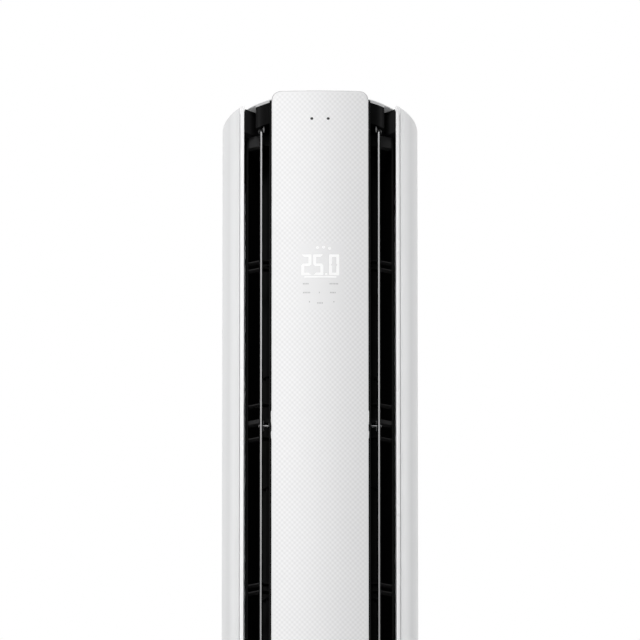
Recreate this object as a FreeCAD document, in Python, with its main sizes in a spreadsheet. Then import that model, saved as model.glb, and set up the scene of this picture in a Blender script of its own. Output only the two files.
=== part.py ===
"""Floor standing air conditioner: a round column with two tall air outlets.

Millimetres. +Z is up, the front faces -Y, and the origin is on the floor at the column's axis.
"""
import FreeCAD, Part
import math
import os
import re
import Sketcher
from FreeCAD import Placement, Rotation, Vector

sizes = {
    # body
    "body_radius": 195.0,
    "body_height": 1780.0,
    "fit_gap": 0.3,
    "shell_wall": 3.0,
    "crease_share": 0.81692,
    "bevel_width": 6.7,
    "trim_dip": 2.2,
    "trim_lip": 2.1,
    "lip_height": 3.5,
    # base
    "plinth_inset": 7.0,
    "plinth_wall": 6.0,
    "plinth_lift": 3.0,
    "plinth_height": 60.0,
    "plinth_hole_inset": 78.0,
    "pad_radius": 12.0,
    "pad_height": 8.0,
    "pad_circle_inset": 38.0,
    "boss_radius": 18.0,
    "pan_thickness": 3.0,
    # crown, cover and lower bezel
    "cover_drop": 4.5,
    "cover_thickness": 3.2,
    "cover_bevel": 1.4,
    "cover_bevel_height": 2.8,
    "crown_inset": 9.0,
    "crown_height": 51.3,
    "crown_wall": 3.0,
    "head_reach": 11.0,
    "notch_depth": 33.6,
    "cheek_slant": 1.8,
    "ear_size": 14.0,
    "deck_top": 470.0,
    "bezel_height": 45.0,
    # steel side plates
    "plate_gap": 0.3,
    "plate_thickness": 1.5,
    # front column and panel
    "column_share": 0.51436,
    "column_inset": 9.0,
    "column_depth_share": 0.42051,
    "column_taper": 3.5,
    "column_wall": 2.5,
    "column_round": 5.0,
    "shoulder_drop": 25.0,
    "shoulder_depth": 34.0,
    "shoulder_gap": 2.0,
    "panel_inset": 4.1,
    "panel_depth": 16.7,
    "panel_sagitta": 4.0,
    "panel_wall": 3.0,
    "panel_corner": 18.0,
    "panel_round": 2.5,
    "panel_top_drop": 8.5,
    "panel_bottom": 70.0,
    # display and sensors
    "display_drop": 403.0,
    "display_half": 46.0,
    "display_height": 96.0,
    "board_thickness": 1.6,
    "digit_width": 18.0,
    "digit_height": 52.0,
    "digit_pitch": 24.0,
    "well_depth": 8.0,
    "sensor_drop": 72.5,
    "sensor_half": 16.4,
    "sensor_radius": 2.0,
    "sensor_play": 0.1,
    # air guides
    "guide_lap": 0.2,
    "guide_outer_inset": 6.6,
    "guide_flat": 18.7,
    "guide_tuck": 2.0,
    "guide_rise": 12.0,
    "guide_depth": 14.0,
    "guide_rail": 3.0,
    "guide_top_height": 24.0,
    "guide_base_height": 24.0,
    "fin_thickness": 2.0,
    "fin_pair_gap": 16.6,
    "upper_fin_drop": 280.2,
    "lower_fin_drop": 997.7,
    "middle_drop": 634.6,
    "middle_bar_height": 8.4,
    "middle_fin_above": 33.0,
    "middle_fin_below": 39.2,
    # vanes
    "vane_offset": 16.9,
    "vane_inset": 12.0,
    "vane_front": 19.0,
    "vane_rear": 27.0,
    "vane_thickness": 7.0,
    "vane_edge": 2.6,
    "vane_top_gap": 18.0,
    "vane_foot_gap": 16.0,
    "strip_width": 2.8,
    "strip_depth": 3.0,
    "pin_radius": 3.0,
    "running_play": 0.05,
    "pin_top_reach": 14.0,
    "bracket_drop": 665.5,
    "bracket_height": 2.0,
    "bracket_width": 6.0,
    "bracket_nose": 5.0,
    "bracket_foot": 2.0,
    "bracket_foot_width": 12.0,
    "bracket_foot_height": 8.0,
    "bracket_play": 2.0,
    "slot_half": 10.0,
    "bush_radius": 7.0,
    "bush_height": 8.0,
    "vane_motor_radius": 8.5,
    "vane_motor_height": 20.0,
    "vane_motor_offset": 4.0,
    # ducts and fans
    "fan_share": 0.35897,
    "fan_back": 5.0,
    "fan_radius_share": 0.25641,
    "blade_chord": 12.0,
    "blade_thickness": 1.2,
    "blade_lean": 28.0,
    "blade_inset": 0.8,
    "disc_lip": 2.0,
    "blade_count": 26,
    "fan_disc_thickness": 2.0,
    "fan_stage_count": 5,
    "fan_foot_gap": 8.0,
    "fan_head_gap": 8.0,
    "duct_play": 5.0,
    "duct_wall": 2.5,
    "duct_plate": 3.0,
    "duct_wrap": 50.0,
    "tongue_angle": 65.0,
    "tongue_wrap": 35.0,
    "duct_seam": 1.5,
    "shaft_radius": 4.0,
    "shaft_hole_play": 2.0,
    "bearing_radius": 12.0,
    "bearing_flange": 15.0,
    "bearing_flange_height": 3.0,
    "fan_motor_inset": 8.0,
    "fan_motor_height": 38.0,
    # evaporator, drain and pipes
    "coil_gap": 16.5,
    "coil_thickness": 30.0,
    "coil_start_gap": 3.0,
    "coil_head_gap": 26.0,
    "coil_plate": 2.0,
    "coil_plate_reach": 4.0,
    "bend_radius": 10.0,
    "bend_tube_radius": 4.0,
    "bend_count": 9,
    "bend_angle": 12.0,
    "drain_reach": 7.0,
    "drain_wall": 2.0,
    "drain_height": 20.0,
    "drain_floor": 2.5,
    "gas_radius": 6.35,
    "liquid_radius": 3.2,
    "pipe_wall": 1.0,
    "pipe_half": 14.0,
    "pipe_gap": 2.0,
    "pipe_bend": 24.0,
    "pipe_play": 1.0,
    "pipe_out_height": 165.0,
    "union_inset": 45.0,
    "gas_join_height": 1560.0,
    "liquid_join_height": 560.0,
    "spout_radius": 8.0,
    "spout_half": 60.0,
    "spout_bend": 20.0,
    "spout_height": 110.0,
    "spout_reach": 8.0,
    # rear
    "frame_inner_gap": 0.5,
    "window_bottom": 500.0,
    "window_drop": 140.0,
    "mullion_half": 4.0,
    "window_inset": 7.0,
    "filter_thickness": 5.5,
    "filter_rim": 8.0,
    "filter_pitch": 20.0,
    "filter_slot": 12.0,
    "filter_rib": 6.0,
    "mesh_thickness": 0.5,
    "mesh_gap": 0.8,
    "collar_radius": 40.0,
    "collar_bore": 33.0,
    "collar_flange": 2.5,
    "collar_flange_radius": 44.0,
    "gland_radius": 9.0,
    "gland_bore": 4.5,
    "gland_flange_radius": 12.0,
    "gland_half": 75.0,
    "gland_height": 105.0,
    "gland_length": 16.0,
    # wall bracket
    "strap_half": 32.0,
    "strap_height": 60.0,
    "strap_drop": 40.0,
    "strap_thickness": 2.0,
    "strap_hole_half": 20.0,
    "strap_hole_radius": 3.0,
    # control box
    "box_half": 85.0,
    "box_front": 95.0,
    "box_depth": 80.0,
    "box_height": 250.0,
    "box_wall": 1.2,
    "control_board_margin": 8.0,
    "standoff": 6.0,
    "terminal_half": 40.0,
    "terminal_depth": 22.0,
    "terminal_height": 18.0,
    "terminal_level": 60.0,
    # screws
    "screw_head_radius": 4.5,
    "screw_head_height": 2.0,
    "screw_radius": 2.2,
    "screw_play": 0.2,
    "base_screw_length": 24.0,
    "cover_screw_length": 8.0,
    "cover_screw_inset": 14.5,
    "screw_boss_radius": 7.0,
}

# Places that follow from the sizes. The front is -Y, so a front place is negative.
places = {
    "crease_half": "body_radius * crease_share",
    "opening_half": "crease_half - bevel_width",
    "crown_radius": "body_radius - crown_inset",
    "plinth_radius": "body_radius - plinth_inset",
    "plinth_hole_radius": "plinth_radius - plinth_hole_inset",
    "pad_circle_radius": "plinth_radius - pad_circle_inset",
    "cheek_half": "opening_half - trim_lip - fit_gap",
    "column_half": "body_radius * column_share",
    "column_depth": "body_radius * column_depth_share",
    "column_back_half": "column_half - column_taper",
    "panel_half": "column_half - panel_inset",
    "guide_outer_half": "opening_half - guide_outer_inset",
    "guide_kink_half": "column_half + guide_flat",
    "guide_inner_half": "column_half - guide_tuck",
    "vane_half": "column_half + vane_offset",
    "head_half": "vane_half + head_reach",
    "fan_half": "body_radius * fan_share",
    "fan_radius": "body_radius * fan_radius_share",
    "fan_motor_radius": "fan_radius - fan_motor_inset",
    "window_half": "crease_half - window_inset",
    "cover_screw_circle": "crown_radius - cover_screw_inset",
    "shell_inner": "body_radius - shell_wall",
    "frame_inner": "crown_radius + frame_inner_gap",
    "plate_inner": "crown_radius + plate_gap",
    "plate_outer": "plate_inner + plate_thickness",
    "pan_top": "plinth_height + pan_thickness",
    "cover_top": "body_height - cover_drop",
    "cover_bottom": "cover_top - cover_thickness",
    "crown_bottom": "cover_bottom - crown_height",
    "crown_floor": "crown_bottom + crown_wall",
    "deck_bottom": "deck_top - bezel_height",
    "opening_y": "-sqrt(body_radius^2 - opening_half^2)",
    "crease_y": "-sqrt(body_radius^2 - crease_half^2)",
    "cheek_y": "opening_y + trim_dip + fit_gap",
    "notch_y": "-sqrt(crown_radius^2 - head_half^2) + notch_depth",
    "column_front": "column_inset - body_radius",
    "column_back": "column_front + column_depth",
    "panel_back": "column_front - fit_gap",
    "panel_face": "panel_back - panel_depth",
    "panel_top": "body_height - panel_top_drop",
    "shoulder_level": "body_height - shoulder_drop",
    "shoulder_back": "column_front + shoulder_depth",
    "shoulder_half": "panel_half - panel_corner - shoulder_gap",
    "display_level": "body_height - display_drop",
    "sensor_level": "body_height - sensor_drop",
    "guide_kink_y": "column_back + guide_lap",
    "guide_outer_y": "guide_kink_y + guide_rise",
    "vane_y": "-sqrt(crown_radius^2 - vane_half^2) + vane_inset",
    "vane_top": "crown_bottom - vane_top_gap",
    "vane_bottom": "deck_top + vane_foot_gap",
    "bracket_level": "crown_bottom - bracket_drop",
    "fan_bottom": "deck_top + fan_foot_gap",
    "fan_top": "crown_bottom - fan_head_gap",
    "coil_outer": "crown_radius - coil_gap",
    "coil_inner": "coil_outer - coil_thickness",
    "coil_middle": "coil_outer - coil_thickness / 2",
    "coil_start": "fan_back + fan_radius + coil_start_gap",
    "pipe_back": "coil_start + pipe_gap",
    "spout_back": "sqrt(coil_middle^2 - spout_half^2)",
    "coil_bottom": "deck_top + drain_floor + coil_plate",
    "coil_top": "crown_bottom - coil_head_gap",
    "window_top": "body_height - window_drop",
}

doc = FreeCAD.newDocument("FloorStandingAirConditioner")
sheet = doc.addObject("Spreadsheet::Sheet", "Sizes")
for row, (alias, number) in enumerate(sizes.items(), start=1):
    sheet.set(f"A{row}", alias.replace("_", " "))
    sheet.set(f"B{row}", str(number))
    sheet.setAlias(f"B{row}", alias)
doc.recompute()

pieces = []


def rule(text):
    """The sheet expression for a rule written with the names of sizes and places."""

    def spell(match):
        word = match.group(0)
        if word in places:
            return "(" + rule(places[word]) + ")"
        if word in sizes:
            return "Sizes." + word
        return word

    return re.sub(r"[a-z_]+", spell, text)


def value(text):
    """The number that a rule gives now."""
    return float(sheet.evalExpression(rule(text)))


def place(item, x="0", y="0", z="0"):
    for axis, text in zip("xyz", (x, y, z)):
        item.setExpression("Placement.Base." + axis, rule(text))


def box(name, x, y, z):
    """A box between the low and high rules of each axis."""
    item = doc.addObject("Part::Box", name)
    for side, (low, high) in zip(("Length", "Width", "Height"), (x, y, z)):
        item.setExpression(side, rule(f"({high}) - ({low})"))
    place(item, x[0], y[0], z[0])
    return item


def cylinder(name, radius, z, x="0", y="0"):
    item = doc.addObject("Part::Cylinder", name)
    item.setExpression("Radius", rule(radius))
    item.setExpression("Height", rule(f"({z[1]}) - ({z[0]})"))
    place(item, x, y, z[0])
    return item


def bar(name, radius, x, y, z):
    """A round bar along Y, from y[0] to y[1]."""
    item = doc.addObject("Part::Cylinder", name)
    item.setExpression("Radius", rule(radius))
    item.setExpression("Height", rule(f"({y[1]}) - ({y[0]})"))
    item.Placement = Placement(Vector(), Rotation(Vector(1, 0, 0), -90))
    place(item, x, y[0], z)
    return item


def fuse(name, *items):
    item = doc.addObject("Part::MultiFuse", name)
    item.Shapes = list(items)
    return item


def cut(name, base, *tools):
    item = doc.addObject("Part::Cut", name)
    item.Base = base
    item.Tool = tools[0] if len(tools) == 1 else fuse(name + "Tools", *tools)
    return item


def common(name, *items):
    item = doc.addObject("Part::MultiCommon", name)
    item.Shapes = list(items)
    return item


def group(name, *items):
    item = doc.addObject("Part::Compound", name)
    item.Links = list(items)
    return item


def mirror(name, source):
    """The same piece on the other side of the column."""
    item = doc.addObject("Part::Mirroring", name)
    item.Source = source
    item.Normal = Vector(1, 0, 0)
    return item


def ring(name, inner, outer, z):
    return cut(name, cylinder(name + "Outer", outer, z), cylinder(name + "Inner", inner, z))


def origin_plane(body, role):
    return next(feature for feature in body.Origin.OriginFeatures if feature.Role == role)


def prism(name, corners, z):
    """A PartDesign pad of the outline through the corners, each an x rule and a y rule."""
    body = doc.addObject("PartDesign::Body", name)
    sketch = body.newObject("Sketcher::SketchObject", name + "Sketch")
    sketch.AttachmentSupport = (origin_plane(body, "XY_Plane"), [""])
    sketch.MapMode = "FlatFace"
    points = [Vector(value(x), value(y), 0) for x, y in corners]
    for start, end in zip(points, points[1:] + points[:1]):
        sketch.addGeometry(Part.LineSegment(start, end), False)
    for line in range(len(points)):
        following = (line + 1) % len(points)
        sketch.addConstraint(Sketcher.Constraint("Coincident", line, 2, following, 1))
    for line, (x, y) in enumerate(corners):
        for kind, text in (("DistanceX", x), ("DistanceY", y)):
            number = Sketcher.Constraint(kind, -1, 1, line, 1, value(text))
            index = sketch.addConstraint(number)
            sketch.setExpression(f"Constraints[{index}]", rule(text))
    pad = body.newObject("PartDesign::Pad", name + "Pad")
    pad.Profile = sketch
    pad.setExpression("Length", rule(f"({z[1]}) - ({z[0]})"))
    place(body, "0", "0", z[0])
    return body


def keep(item, label):
    """Marks a finished sub-part, which is written to the file of its label."""
    item.Label = label
    pieces.append(item)
    return item


def keep_pair(right, label):
    """Keeps a right-hand piece and its left-hand mirror."""
    keep(right, label + "_right")
    return right, keep(mirror(right.Name + "Mirror", right), label + "_left")


def around(count, radius):
    """Points evenly spaced on a circle about the axis, the first half a step round from +X."""
    for index in range(count):
        angle = math.radians(360.0 * (index + 0.5) / count)
        yield index, f"({radius}) * {math.cos(angle):.6f}", f"({radius}) * {math.sin(angle):.6f}"


def base():
    bosses = []
    recesses = []
    pads = []
    holes = []
    screws = []
    for index, x, y in around(4, "pad_circle_radius"):
        bosses.append(cylinder(f"PadBoss{index}", "boss_radius",
                               ("plinth_lift", "plinth_height - plinth_wall / 2"), x, y))
        recesses.append(cylinder(f"PadRecess{index}", "pad_radius + fit_gap",
                                 ("0", "pad_height"), x, y))
        pads.append(cylinder(f"Pad{index}", "pad_radius", ("0", "pad_height"), x, y))
        holes.append(cylinder(f"BaseScrewHole{index}", "screw_radius + screw_play",
                              ("pan_top - base_screw_length - 1", "pan_top + 1"), x, y))
        screws.append(screw(f"BaseScrew{index}", x, y, "pan_top", "base_screw_length"))
    keep(group("FloorPads", *pads), "floor_pads")
    shell = cut("PlinthShell",
                cylinder("PlinthOuter", "plinth_radius", ("plinth_lift", "plinth_height")),
                cylinder("PlinthHollow", "plinth_radius - plinth_wall",
                         ("0", "plinth_height - plinth_wall")),
                cylinder("PlinthHole", "plinth_hole_radius", ("0", "plinth_height + 1")))
    plinth = fuse("PlinthBody", shell, *bosses)
    holes_group = group("BaseScrewHoles", *holes)
    keep(cut("Plinth", plinth, group("PadRecesses", *recesses), holes_group), "base_plinth")
    pan = cylinder("PanDisc", "shell_inner - fit_gap", ("plinth_height", "pan_top"))
    keep(cut("Pan", pan, holes_group), "base_pan")
    return screws


def screw(name, x, y, seat, length):
    """A pan-head screw whose head rests on the seat level."""
    head = cylinder(name + "Head", "screw_head_radius", (seat, f"{seat} + screw_head_height"), x, y)
    shank = cylinder(name + "Shank", "screw_radius", (f"{seat} - {length}", seat), x, y)
    return fuse(name, head, shank)


def side_shells():
    height = ("plinth_height", "body_height")
    side = box("ShellSide", ("crease_half + fit_gap", "body_radius + 5"),
               ("-body_radius", "body_radius"), height)
    wall = ring("ShellWall", "shell_inner", "body_radius", height)
    lip = ring("ShellLip", "plate_outer + fit_gap", "shell_inner + 1",
               ("body_height - lip_height", "body_height"))
    keep_pair(common("Shell", fuse("ShellRing", wall, lip), side), "shell")
    trim = prism("ShellTrim", [
        ("crease_half", "crease_y"),
        ("opening_half", "opening_y + trim_dip"),
        ("opening_half - trim_lip", "opening_y + trim_dip + trim_lip"),
        ("crease_half - trim_lip", "crease_y + trim_lip"),
    ], ("pan_top", "body_height"))
    keep_pair(trim, "shell_trim")
    front = box("LowerFrontSpan", ("column_half + fit_gap", "opening_half - trim_lip - fit_gap"),
                ("-body_radius", "0"), ("plinth_height", "deck_top"))
    curve = ring("LowerFrontRing", "shell_inner", "body_radius", ("plinth_height", "deck_top"))
    keep_pair(common("LowerFront", curve, front), "lower_front")


def side_plates():
    height = ("pan_top", "cover_bottom - fit_gap")
    span = box("PlateSpan", ("crease_half + fit_gap", "body_radius"),
               ("-body_radius / 2", "body_radius / 2"), height)
    keep_pair(common("SidePlate", ring("PlateRing", "plate_inner", "plate_outer", height), span),
              "side_plate")


def deck_plan(name, inset, z, eared=False):
    """The crown's plan: a disc with a notch beside each head and a slot for the column.

    An ear on each side closes the gap between the disc and the shell's trim.
    """
    disc = cylinder(name + "Disc", f"crown_radius - {inset}", z)
    if eared:
        ear = box(name + "Ear", ("cheek_half - ear_size", "cheek_half"),
                  ("cheek_y", "cheek_y + ear_size"), z)
        disc = fuse(name + "Eared", disc, ear, mirror(name + "EarLeft", ear))
    notch = prism(name + "Notch", [
        (f"head_half - {inset}", f"notch_y + cheek_slant * {inset}"),
        (f"cheek_half - {inset} / 2", f"cheek_y + cheek_slant * {inset}"),
        ("body_radius * 2", f"cheek_y + cheek_slant * {inset}"),
        ("body_radius * 2", "-body_radius * 2"),
        (f"head_half - {inset}", "-body_radius * 2"),
    ], z)
    slot = box(name + "Slot", (f"-column_half - fit_gap - {inset}", f"column_half + fit_gap + {inset}"),
               ("-body_radius * 2", f"column_back + fit_gap + {inset}"), z)
    return cut(name, disc, notch, mirror(name + "NotchLeft", notch), slot)


def through_holes(name, z):
    """Holes in the crown's floor or the deck for the vane pins and the fan shafts."""
    pin = cylinder(name + "Pin", "pin_radius + running_play", z, "vane_half", "vane_y")
    shaft = cylinder(name + "Shaft", "shaft_radius + shaft_hole_play", z, "fan_half", "fan_back")
    both = group(name + "Right", pin, shaft)
    return group(name, both, mirror(name + "Left", both))


def crown():
    z = ("crown_bottom", "cover_bottom")
    hollow = deck_plan("CrownHollow", "crown_wall", ("crown_floor", "cover_bottom + 1"))
    outer = deck_plan("CrownPlan", "0", z, eared=True)
    holes = through_holes("CrownHoles", ("crown_bottom - 1", "crown_floor + 1"))
    shell = cut("CrownShell", outer, hollow, holes)
    bosses = []
    drills = []
    screws = []
    wells = []
    for index, x, y in around(6, "cover_screw_circle"):
        bosses.append(cylinder(f"CrownBoss{index}", "screw_boss_radius",
                               ("crown_floor", "cover_bottom"), x, y))
        drills.append(cylinder(f"CrownDrill{index}", "screw_radius + screw_play",
                               ("cover_bottom - cover_screw_length", "cover_top"), x, y))
        wells.append(cylinder(f"CoverWell{index}", "screw_head_radius + screw_play",
                              ("cover_top - screw_head_height", "cover_top + 1"), x, y))
        screws.append(screw(f"CoverScrew{index}", x, y, "(cover_top - screw_head_height)",
                            "cover_screw_length"))
    body = fuse("CrownBody", shell, *bosses)
    drill_group = group("CrownDrills", *drills)
    keep(cut("Crown", body, drill_group), "top_crown")
    disc = cylinder("CoverDisc", "crown_radius", ("cover_bottom", "cover_top - cover_bevel_height"))
    bevel = doc.addObject("Part::Cone", "CoverBevel")
    bevel.setExpression("Radius1", rule("crown_radius"))
    bevel.setExpression("Radius2", rule("crown_radius - cover_bevel"))
    bevel.setExpression("Height", rule("cover_bevel_height"))
    place(bevel, z="cover_top - cover_bevel_height")
    tongue = box("CoverTongue", ("-shoulder_half", "shoulder_half"), ("column_front", "0"),
                 ("cover_bottom", "cover_top - cover_bevel_height"))
    sheet_blank = fuse("CoverBlank", disc, bevel, tongue)
    keep(cut("Cover", sheet_blank, drill_group, group("CoverWells", *wells)), "top_cover")
    return screws


def bezel():
    z = ("deck_bottom", "deck_top")
    hollow = deck_plan("BezelHollow", "crown_wall", ("deck_bottom - 1", "deck_top - crown_wall"))
    holes = through_holes("DeckHoles", ("deck_top - crown_wall - 1", "deck_top + 1"))
    pipes = group("DeckPipeHoles", *[
        cylinder(f"DeckPipeHole{index}", f"{radius} + pipe_play",
                 ("deck_top - crown_wall - 1", "deck_top + 1"), x, y)
        for index, (radius, x, y) in enumerate((
            ("gas_radius", "pipe_half", "pipe_back"),
            ("liquid_radius", "-pipe_half", "pipe_back"),
            ("spout_radius", "spout_half", "spout_back"),
        ))
    ])
    plan = deck_plan("BezelPlan", "0", z, eared=True)
    keep(cut("Bezel", plan, hollow, holes, pipes), "lower_bezel")


def column():
    z = ("pan_top", "cover_bottom")
    outer = prism("ColumnOuter", [
        ("-column_half", "column_front"),
        ("column_half", "column_front"),
        ("column_back_half", "column_back"),
        ("-column_back_half", "column_back"),
    ], z)
    doc.recompute()
    pad = outer.Tip
    front_edges = edges_at(pad.Shape, lambda middle: middle.y < value("column_front") + 1, "z")
    corner = outer.newObject("PartDesign::Fillet", "ColumnCorners")
    corner.Base = (pad, front_edges)
    corner.setExpression("Radius", rule("column_round"))
    outer.Tip = corner
    inner = prism("ColumnInner", [
        ("-column_half + column_wall", "column_front + column_wall"),
        ("column_half - column_wall", "column_front + column_wall"),
        ("column_back_half - column_wall", "column_back + 1"),
        ("-column_back_half + column_wall", "column_back + 1"),
    ], z)
    window = box("ColumnWindow", ("-display_half - fit_gap", "display_half + fit_gap"),
                 ("column_front - 1", "column_front + column_wall + 1"),
                 ("display_level - display_height / 2 - fit_gap",
                  "display_level + display_height / 2 + fit_gap"))
    sides = shoulders("ColumnShoulder", "0", ("shoulder_level", "cover_bottom + 1"))
    closing = shoulders("ColumnShelf", "column_wall", ("shoulder_level - column_wall", "cover_bottom + 1"))
    hollow = cut("ColumnHollow", inner, closing)
    keep(cut("Column", outer, hollow, sides, window), "front_column")


def shoulders(name, inset, z):
    """The two front corners of the column, grown by an inset."""
    corner = box(name, (f"shoulder_half - {inset}", "column_half + 1"),
                 ("column_front - 1", f"shoulder_back + {inset}"), z)
    return group(name + "Pair", corner, mirror(name + "Left", corner))


def edges_at(shape, wanted, axis):
    """Names of the straight edges along an axis whose middle satisfies the test."""
    names = []
    for index, edge in enumerate(shape.Edges, start=1):
        box_size = edge.BoundBox
        spans = {"x": box_size.XLength, "y": box_size.YLength, "z": box_size.ZLength}
        along = spans.pop(axis)
        if along > 1e-3 and max(spans.values()) < 1e-3 and wanted(box_size.Center):
            names.append(f"Edge{index}")
    return names


def panel():
    z = ("panel_bottom", "panel_top")
    slab = box("PanelSlab", ("-panel_half", "panel_half"), ("panel_face", "panel_back"), z)
    doc.recompute()
    rounded = doc.addObject("Part::Fillet", "PanelRounded")
    rounded.Base = slab
    names = edges_at(slab.Shape, lambda middle: True, "y")
    radius = value("panel_corner")
    rounded.Edges = [(int(name[4:]), radius, radius) for name in names]
    crowning = "(panel_half^2 + panel_sagitta^2) / (2 * panel_sagitta)"
    dome = cylinder("PanelDome", crowning, z, "0", f"panel_face + {crowning}")
    face = common("PanelFace", rounded, dome)
    doc.recompute()
    soft = doc.addObject("Part::Fillet", "PanelSoft")
    soft.Base = face
    front = value("panel_face") + value("panel_sagitta") + 0.5
    names = [index for index, edge in enumerate(face.Shape.Edges, start=1)
             if edge.BoundBox.YMax < front]
    radius = value("panel_round")
    soft.Edges = [(index, radius, radius) for index in names]
    hollow_box = box("PanelHollowBox", ("-panel_half + panel_wall", "panel_half - panel_wall"),
                     ("panel_face + panel_sagitta + panel_wall", "panel_back + 1"),
                     ("panel_bottom + panel_wall", "panel_top - panel_wall"))
    doc.recompute()
    hollow = doc.addObject("Part::Fillet", "PanelHollow")
    hollow.Base = hollow_box
    radius = value("panel_corner - panel_wall")
    hollow.Edges = [(int(name[4:]), radius, radius)
                    for name in edges_at(hollow_box.Shape, lambda middle: True, "y")]
    eyes = [bar(f"SensorHole{side}", "sensor_radius + sensor_play", f"{side} * sensor_half",
                ("panel_face - 1", "panel_back + 1"), "sensor_level") for side in (-1, 1)]
    for index, eye in enumerate(eyes):
        eye.Label = f"SensorHole_{index}"
    keep(cut("Panel", soft, hollow, *eyes), "front_panel")
    lenses = [bar(f"SensorLens{index}", "sensor_radius", f"{side} * sensor_half",
                  ("panel_face", "column_front - fit_gap"), "sensor_level")
              for index, side in enumerate((-1, 1))]
    keep(group("SensorLenses", *lenses), "sensor_lenses")


def display():
    low = "display_level - display_height / 2"
    high = "display_level + display_height / 2"
    board_front = "column_front + column_wall + fit_gap"
    keep(box("DisplayBoard", ("-display_half - 4", "display_half + 4"),
             (board_front, f"{board_front} + board_thickness"), (f"{low} - 4", f"{high} + 4")),
         "display_board")
    front = "panel_face + panel_sagitta + panel_wall + fit_gap"
    block = box("LightBoxBlock", ("-display_half", "display_half"), (front, board_front), (low, high))
    wells = [box(f"DigitWell{index}",
                 (f"{offset} * digit_pitch - digit_width / 2", f"{offset} * digit_pitch + digit_width / 2"),
                 (f"{front} - 1", f"{front} + well_depth"),
                 ("display_level - digit_height / 2", "display_level + digit_height / 2"))
             for index, offset in enumerate((-1, 0, 1))]
    keep(cut("LightBox", block, *wells), "display_light_box")


def air_guides():
    plan = [
        ("guide_outer_half", "guide_outer_y"),
        ("guide_kink_half", "guide_kink_y"),
        ("guide_inner_half", "guide_kink_y"),
        ("guide_inner_half", "guide_kink_y + guide_depth"),
        ("guide_kink_half", "guide_kink_y + guide_depth"),
        ("guide_outer_half", "guide_outer_y + guide_depth"),
    ]
    levels = {
        "Top": ("crown_bottom - guide_top_height", "crown_bottom"),
        "UpperA": ("crown_bottom - upper_fin_drop - fin_thickness", "crown_bottom - upper_fin_drop"),
        "UpperB": ("crown_bottom - upper_fin_drop - fin_pair_gap - fin_thickness",
                   "crown_bottom - upper_fin_drop - fin_pair_gap"),
        "MiddleA": ("crown_bottom - middle_drop + middle_fin_above",
                    "crown_bottom - middle_drop + middle_fin_above + fin_thickness"),
        "Middle": ("crown_bottom - middle_drop - middle_bar_height", "crown_bottom - middle_drop"),
        "MiddleB": ("crown_bottom - middle_drop - middle_fin_below - fin_thickness",
                    "crown_bottom - middle_drop - middle_fin_below"),
        "LowerA": ("crown_bottom - lower_fin_drop - fin_thickness", "crown_bottom - lower_fin_drop"),
        "LowerB": ("crown_bottom - lower_fin_drop - fin_pair_gap - fin_thickness",
                   "crown_bottom - lower_fin_drop - fin_pair_gap"),
        "Base": ("deck_top", "deck_top + guide_base_height"),
    }
    members = [prism("Guide" + name, plan, z) for name, z in levels.items()]
    height = ("deck_top", "crown_bottom")
    step = "guide_rise * guide_rail / (guide_outer_half - guide_kink_half)"
    members.append(prism("GuideOuterRail", [
        ("guide_outer_half", "guide_outer_y"),
        ("guide_outer_half", "guide_outer_y + guide_depth"),
        ("guide_outer_half - guide_rail", f"guide_outer_y + guide_depth - {step}"),
        ("guide_outer_half - guide_rail", f"guide_outer_y - {step}"),
    ], height))
    members.append(box("GuideInnerRail", ("guide_inner_half", "guide_inner_half + guide_rail"),
                       ("guide_kink_y", "guide_kink_y + guide_depth"), height))
    keep_pair(fuse("AirGuide", *members), "air_guide")


def vanes():
    """A blade that turns about an upright pin, with a bright strip along its front edge."""
    blade = prism("VaneBlade", [
        ("vane_half - vane_edge / 2", "vane_y - vane_front"),
        ("vane_half + vane_edge / 2", "vane_y - vane_front"),
        ("vane_half + vane_thickness / 2", "vane_y - vane_front / 3"),
        ("vane_half + vane_thickness / 2", "vane_y + vane_rear / 4"),
        ("vane_half + vane_edge / 2", "vane_y + vane_rear"),
        ("vane_half - vane_edge / 2", "vane_y + vane_rear"),
        ("vane_half - vane_thickness / 2", "vane_y + vane_rear / 4"),
        ("vane_half - vane_thickness / 2", "vane_y - vane_front / 3"),
    ], ("vane_bottom", "vane_top"))
    slot = box("VaneSlot", ("vane_half - vane_thickness", "vane_half + vane_thickness"),
               ("vane_y - slot_half", "vane_y + slot_half"),
               ("bracket_level - bracket_height / 2 - bracket_play",
                "bracket_level + bracket_height / 2 + bracket_play"))
    pin = cylinder("VanePin", "pin_radius", ("deck_top + 1", "crown_floor + pin_top_reach"),
                   "vane_half", "vane_y")
    keep_pair(fuse("Vane", cut("VaneCut", blade, slot), pin), "vane")
    keep_pair(box("VaneStrip", ("vane_half - strip_width / 2", "vane_half + strip_width / 2"),
                  ("vane_y - vane_front - strip_depth", "vane_y - vane_front"),
                  ("vane_bottom", "vane_top")), "vane_strip")


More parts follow.
